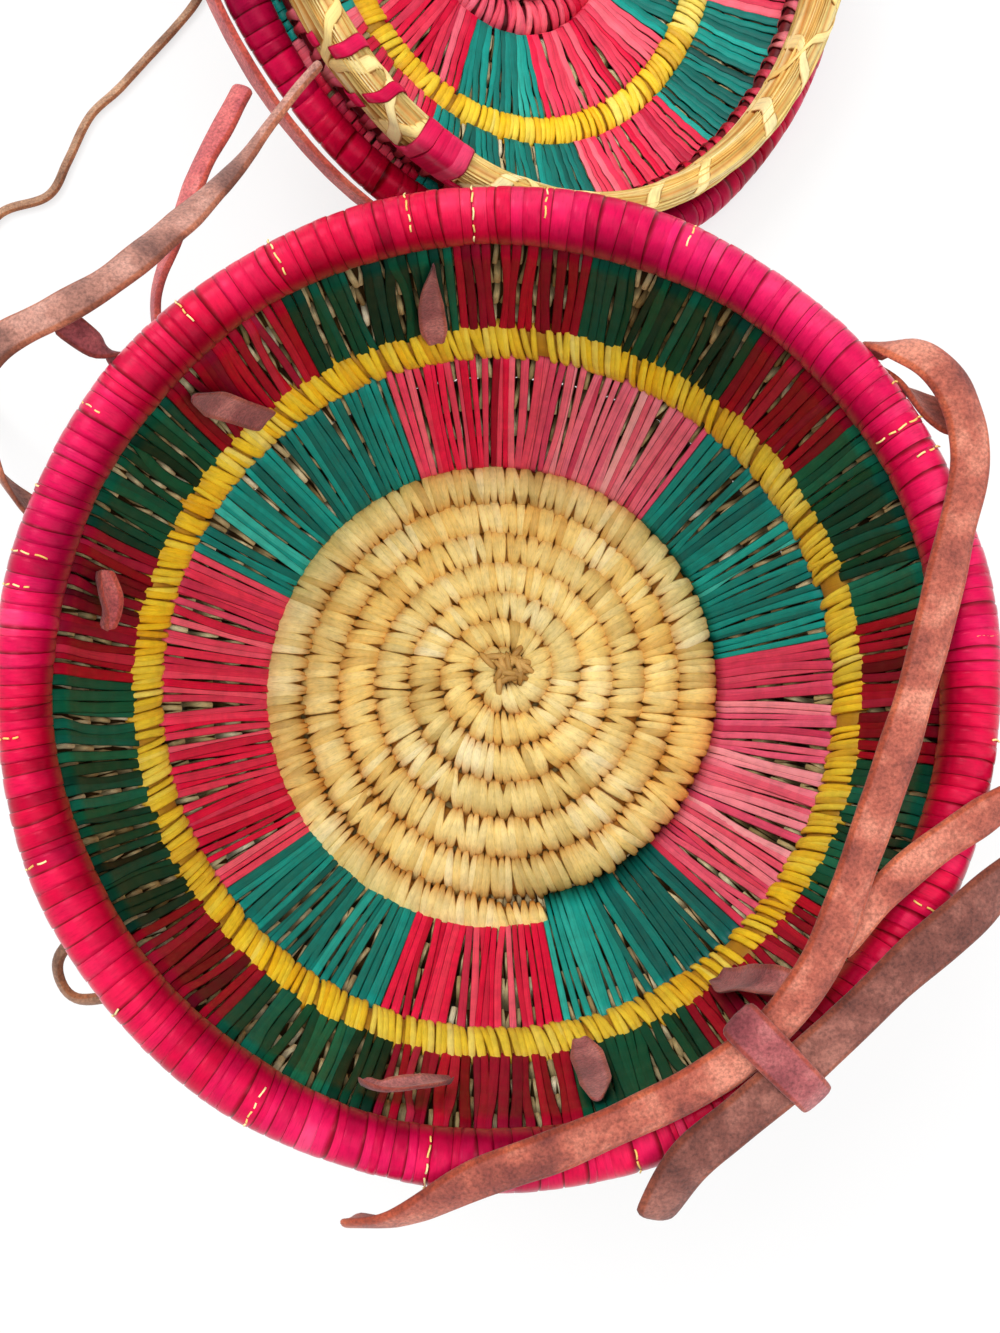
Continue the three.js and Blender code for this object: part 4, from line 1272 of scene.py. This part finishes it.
def nudged(stops):
    """The straps on the rim lie a little nearer the front than their stand-ins."""
    return [(x, y - NEARER, z, lean) for x, y, z, lean in stops]


slack_shape, _ = strap_shape(nudged(slack_stops), 11.5 * MM, cup=1.1 * MM, seed=1)
slack_fold, _ = strap_shape(nudged(slack_fold_stops), 11 * MM, cup=-1.4 * MM, seed=12, taper=(1, 0.5))
leather_piece("slack_strap_leather", [slack_shape, slack_fold], leather, "loose_straps", ["slack_strap"])
leather_strap("double_strap_leather", nudged(double_stops), 13 * MM, brown_leather, "loose_straps",
              ["double_strap"], seed=2)
leather_strap("fold_strap_leather", nudged(fold_stops), 10 * MM, leather, "loose_straps",
              ["fold_strap"], seed=3)
leather_strap("keeper_leather", nudged(keeper_stops), 12 * MM, dark_leather, "loose_straps",
              ["strap_keeper"], seed=4, thick=1.8 * MM, cup=0.0)
long_piece, _ = leather_strap("long_strap_leather", long_stops, 10.5 * MM, grey_leather, "bowl",
                              ["long_strap"], taper=(1, 0.3), ends=(0.1, 0.62), cup=1.2 * MM, seed=5,
                              thick=2 * MM)
side_piece, _ = leather_strap("side_strap_leather", side_stops, 8.5 * MM, red_leather, "bowl",
                              ["side_strap"], seed=6)
leather_strap("short_tie_leather", short_stops, 9 * MM, dark_leather, "bowl", ["short_tie"], seed=7)
leather_strap("side_thong_leather", side_thong_stops, 4 * MM, thong_leather, "bowl", ["side_thong"], seed=8,
              slot_name="thong", thick=2.2 * MM)

# %% [markdown]
# ## The girth strap, its loops and tabs
# One strap runs round the belly. Short loops hold it, and the end of each loop comes through the wall
# as a tab inside. The tabs have dried in their own ways: some stand flat and pointed, one is rolled.

# %% Girth strap and loops
def arc_stops(radius, height, start, end, count):
    """Stops on an arc about the bowl's axis, facing outwards."""
    return [(radius * math.cos(math.radians(a)), radius * math.sin(math.radians(a)), height, 1)
            for a in np.linspace(start, end, count)]


girth_stops = arc_stops(GIRTH_RADIUS, GIRTH_HEIGHT, 0, 360, 49)
leather_strap("girth_strap_leather", girth_stops, 13 * MM, leather, "bowl", ["girth_strap"], seed=9,
              cup=0.3 * MM)
LOOP_AZIMUTHS = [100, 133, 167, 256, 283, 309]
LOOP_SECTION = [(-11, -0.6), (-8.5, 1.4), (-4, 2.3), (0, 2.5), (4, 2.3), (8.5, 1.4), (11, -0.6)]
for k, azimuth in enumerate(LOOP_AZIMUTHS):
    a = math.radians(azimuth)
    loop_x, loop_y = math.cos(a), math.sin(a)
    stops = [((GIRTH_RADIUS + out) * loop_x, (GIRTH_RADIUS + out) * loop_y, GIRTH_HEIGHT + rise, 1)
             for rise, out in LOOP_SECTION]
    leather_strap(f"girth_loop_leather_{k + 1}", stops, 9 * MM, leather, "bowl", [f"girth_loop_{k + 1}"],
                  seed=20 + k, cup=0.4 * MM, per=2 * MM, thick=2 * MM)

# %% [markdown]
# Each tab is a short strap against the wall's inner face. Its stops are how far round the wall, how far
# in from the wall and how high, so that a curled one can leave the wall and come back. After the
# stops come its width, how narrow its ends are, where they begin, and how much it cups.

# %% Tabs inside the wall
TAB_ROUTES = [
    ([(0.2, 1.2, 75), (0.2, 1.4, 92), (-0.2, 1.2, 110), (-1.2, 1.2, 130)],
     9.5, (0.6, 0.06), (0.15, 0.45), 1.1),
    ([(-1.8, 1.2, 76), (0.4, 3.0, 92), (2.6, 2.6, 109), (4.6, 2.8, 128)],
     10.5, (0.9, 0.35), (0.1, 0.7), 1.1),
    ([(-2.6, 0.8, 113), (0.2, 4.0, 112), (3.0, 6.0, 110), (6.2, 5.0, 108)],
     13.0, (0.7, 0.45), (0.2, 0.45), 4),
    ([(7.5, 1.4, 99), (6.0, 5.0, 111), (3.0, 6.0, 121), (-1.6, 4.0, 127), (-4.6, 2.4, 121)],
     8.5, (0.2, 0.5), (0.4, 0.7), 2),
    ([(0, 1.0, 76), (0.5, 1.8, 93), (0.7, 2.0, 112), (0.3, 1.6, 129)],
     11.5, (0.4, 0.35), (0.25, 0.7), 1.1),
    ([(-2.2, 1.0, 77), (-1.2, 4.6, 92), (0.6, 7.4, 106), (2.8, 6.0, 119), (4.4, 2.6, 127)],
     12.5, (0.6, 0.8), (0.3, 0.8), 3),
]
TAB_BACK = 2.2


def wall_inside(height):
    """Radius of the outer band's inner face at a height in millimetres."""
    places, _, inward = wall_places(OUTER_LINE, 40)
    face = places + inward * WALL / 2
    return float(np.interp(height * MM, face[:, 1], face[:, 0])) / MM


for k, (azimuth, (route, width, taper, ends, cup)) in enumerate(zip(LOOP_AZIMUTHS, TAB_ROUTES)):
    stops = []
    for turn, inward, height in route:
        a = math.radians(azimuth + turn)
        r = wall_inside(height) - TAB_BACK - inward
        stops.append((r * math.cos(a), r * math.sin(a), height, 1))
    look = red_leather if k == 2 else dark_leather
    leather_strap(f"loop_tab_leather_{k + 1}", stops, width * MM, look, "bowl", [f"loop_tab_{k + 1}"],
                  seed=30 + k, taper=taper, ends=ends, cup=cup * MM, per=2 * MM, thick=1.3 * MM)

# %% [markdown]
# ## The lid's strap and the tie
# A strap lies against the lid's rim on its outer side. Behind, a leather tie joins bowl and lid. It is
# made in two halves that meet end to end when the lid is open, one on the bowl and one on the lid,
# and lie one above the other when it is closed.

# %% Lid strap and tie
LID_STRAP_GAP = 0.75
lid_strap_radius = (LID_RIM_CENTRE + LID_RIM_COIL + STRAP_THICK / 2) / MM + LID_STRAP_GAP
lid_strap_stops = arc_stops(lid_strap_radius, LID_PLANE + 4, 105, 202, 17)
leather_strap("lid_strap_leather", lid_strap_stops, 12 * MM, red_leather, "lid", ["lid_strap"], LID, seed=40)
swing_place = joints["lid_swing"]["pos_m"]
tie_azimuth = math.atan2(swing_place[1], swing_place[0])
TIE_START = (151.9, 127)
TIE_ON_LID = ((145.6, LID_PLANE + 8), (150.4, LID_PLANE + 2), (153.6, 148), (153.9, 139), (153.6, 131))


def behind(radius, height):
    """A place in millimetres at the tie's azimuth."""
    return np.array([radius * math.cos(tie_azimuth), radius * math.sin(tie_azimuth), height])


lid_half_stops = [(*(np.array(LID @ Vector(behind(*place) * MM)) / MM), 1) for place in TIE_ON_LID]
tie_start = behind(*TIE_START)
tie_meeting = np.array(lid_half_stops[-1][:3])
tie_middle = (tie_start + tie_meeting) / 2 + [0, 2, 0]
bowl_half_stops = [(*tie_start, 1), (*tie_middle, 1), (*tie_meeting, 1)]
leather_strap("back_tie_bowl_half", bowl_half_stops, 12 * MM, leather, "bowl", ["back_tie"], seed=42)
leather_strap("back_tie_lid_half", lid_half_stops, 12 * MM, leather, "lid", ["back_tie"], seed=43)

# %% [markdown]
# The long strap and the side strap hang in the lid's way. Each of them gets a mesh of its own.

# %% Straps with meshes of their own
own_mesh(long_piece)
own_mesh(side_piece)

# %% [markdown]
# The thin thong drops from the rim to the ground and runs along it towards the lid. It is a cord, and
# the places along its middle are kept.

# %% Thin thong
thong_stops = [
    (-157, 83, 137.6, 0.15), (-172, 90, 128, 0.15), (-196, 100, 80, 0.15), (-222, 118, 28, 0.15),
    (-236, 140, 6, 0.15), (-242, 168, 2, 0.15), (-240, 196, 2, 0.15), (-228, 218.5, 2, 0.15),
    (-206, 227, 2, 0.15), (-197.3, 244, 2, 0.15), (-188, 265, 2, 0.15), (-175.3, 278, 2, 0.15),
    (-161, 294.7, 2, 0.15), (-149.7, 308, 2, 0.15), (-139.8, 321.5, 2, 0.15), (-134, 335, 2, 0.15),
]
thong, thong_line = leather_strap("thin_thong_leather", thong_stops, 4 * MM, thong_leather, "bowl",
                                  ["thin_thong"], seed=44, thick=2.2 * MM, slot_name="thong", cup=0.0,
                                  ragged=0.03)

# %% [markdown]
# ## Floor and light
# A pale floor carries the object's shadow. To the camera it glows, so that the picture has the
# photograph's plain white ground with only a soft shadow on it.

# %% Floor
FLOOR_SPAN = 6
FLOOR_BELOW = -0.4 * MM
FLOOR_GLOW = 0.72
bpy.ops.mesh.primitive_plane_add(size=FLOOR_SPAN, location=(0, 0, FLOOR_BELOW))
floor = bpy.context.active_object
floor.name = "floor"
floor_material, floor_tree, floor_shader = new_material("floor", 0.9)
floor_shader.inputs["Base Color"].default_value = (0.9, 0.9, 0.9, 1)
floor_shader.inputs["Specular IOR Level"].default_value = 0.0
path = floor_tree.nodes.new("ShaderNodeLightPath")
glow = add(floor_tree, "ShaderNodeEmission", Color=(1, 1, 1, 1), Strength=1.0)
seen = floor_tree.nodes.new("ShaderNodeMath")
seen.operation = "MULTIPLY"
seen.inputs[1].default_value = FLOOR_GLOW
floor_tree.links.new(path.outputs["Is Camera Ray"], seen.inputs[0])
blend_floor = floor_tree.nodes.new("ShaderNodeMixShader")
floor_tree.links.new(seen.outputs[0], blend_floor.inputs[0])
floor_tree.links.new(floor_shader.outputs["BSDF"], blend_floor.inputs[1])
floor_tree.links.new(glow.outputs["Emission"], blend_floor.inputs[2])
floor_tree.links.new(blend_floor.outputs["Shader"], floor_tree.nodes["Material Output"].inputs["Surface"])
floor.data.materials.append(floor_material)
print("floor of", FLOOR_SPAN, "m")

# %% [markdown]
# Large soft lamps light the object evenly. The world is white to the camera and to glossy and clear
# rays, and dimmer as a light, so that the lamps still model the coils.

# %% World and lamps
WORLD_DIM = 0.55
WORLD_FULL = 1.0
world = bpy.data.worlds.new("studio")
world.use_nodes = True
bpy.context.scene.world = world
tree = world.node_tree
background = tree.nodes["Background"]
rays = tree.nodes.new("ShaderNodeLightPath")
either = tree.nodes.new("ShaderNodeMath")
either.operation = "MAXIMUM"
third = tree.nodes.new("ShaderNodeMath")
third.operation = "MAXIMUM"
tree.links.new(rays.outputs["Is Camera Ray"], either.inputs[0])
tree.links.new(rays.outputs["Is Glossy Ray"], either.inputs[1])
tree.links.new(either.outputs[0], third.inputs[0])
tree.links.new(rays.outputs["Is Transmission Ray"], third.inputs[1])
level = tree.nodes.new("ShaderNodeMapRange")
level.inputs["To Min"].default_value = WORLD_DIM
level.inputs["To Max"].default_value = WORLD_FULL
tree.links.new(third.outputs[0], level.inputs["Value"])
tree.links.new(level.outputs["Result"], background.inputs["Strength"])
background.inputs["Color"].default_value = (1, 1, 1, 1)


def lamp(name, place, aim, size, power):
    """A square soft lamp pointed at a place."""
    data = bpy.data.lights.new(name, "AREA")
    data.size = size
    data.energy = power
    obj = bpy.data.objects.new(name, data)
    bpy.context.collection.objects.link(obj)
    obj.location = place
    obj.rotation_euler = (Vector(aim) - Vector(place)).to_track_quat("-Z", "Y").to_euler()
    return obj


lamp("key", (-0.7, 0.9, 1.5), (0, 0.1, 0.05), 0.9, 16)
lamp("fill", (0.9, -0.6, 1.4), (0, 0, 0.05), 1.2, 9)
lamp("top", (0.1, 0.1, 2.0), (0, 0.1, 0), 1.4, 12)
bpy.context.scene.view_settings.view_transform = "Standard"

# %% [markdown]

# %% End of the scene
print("scene built")
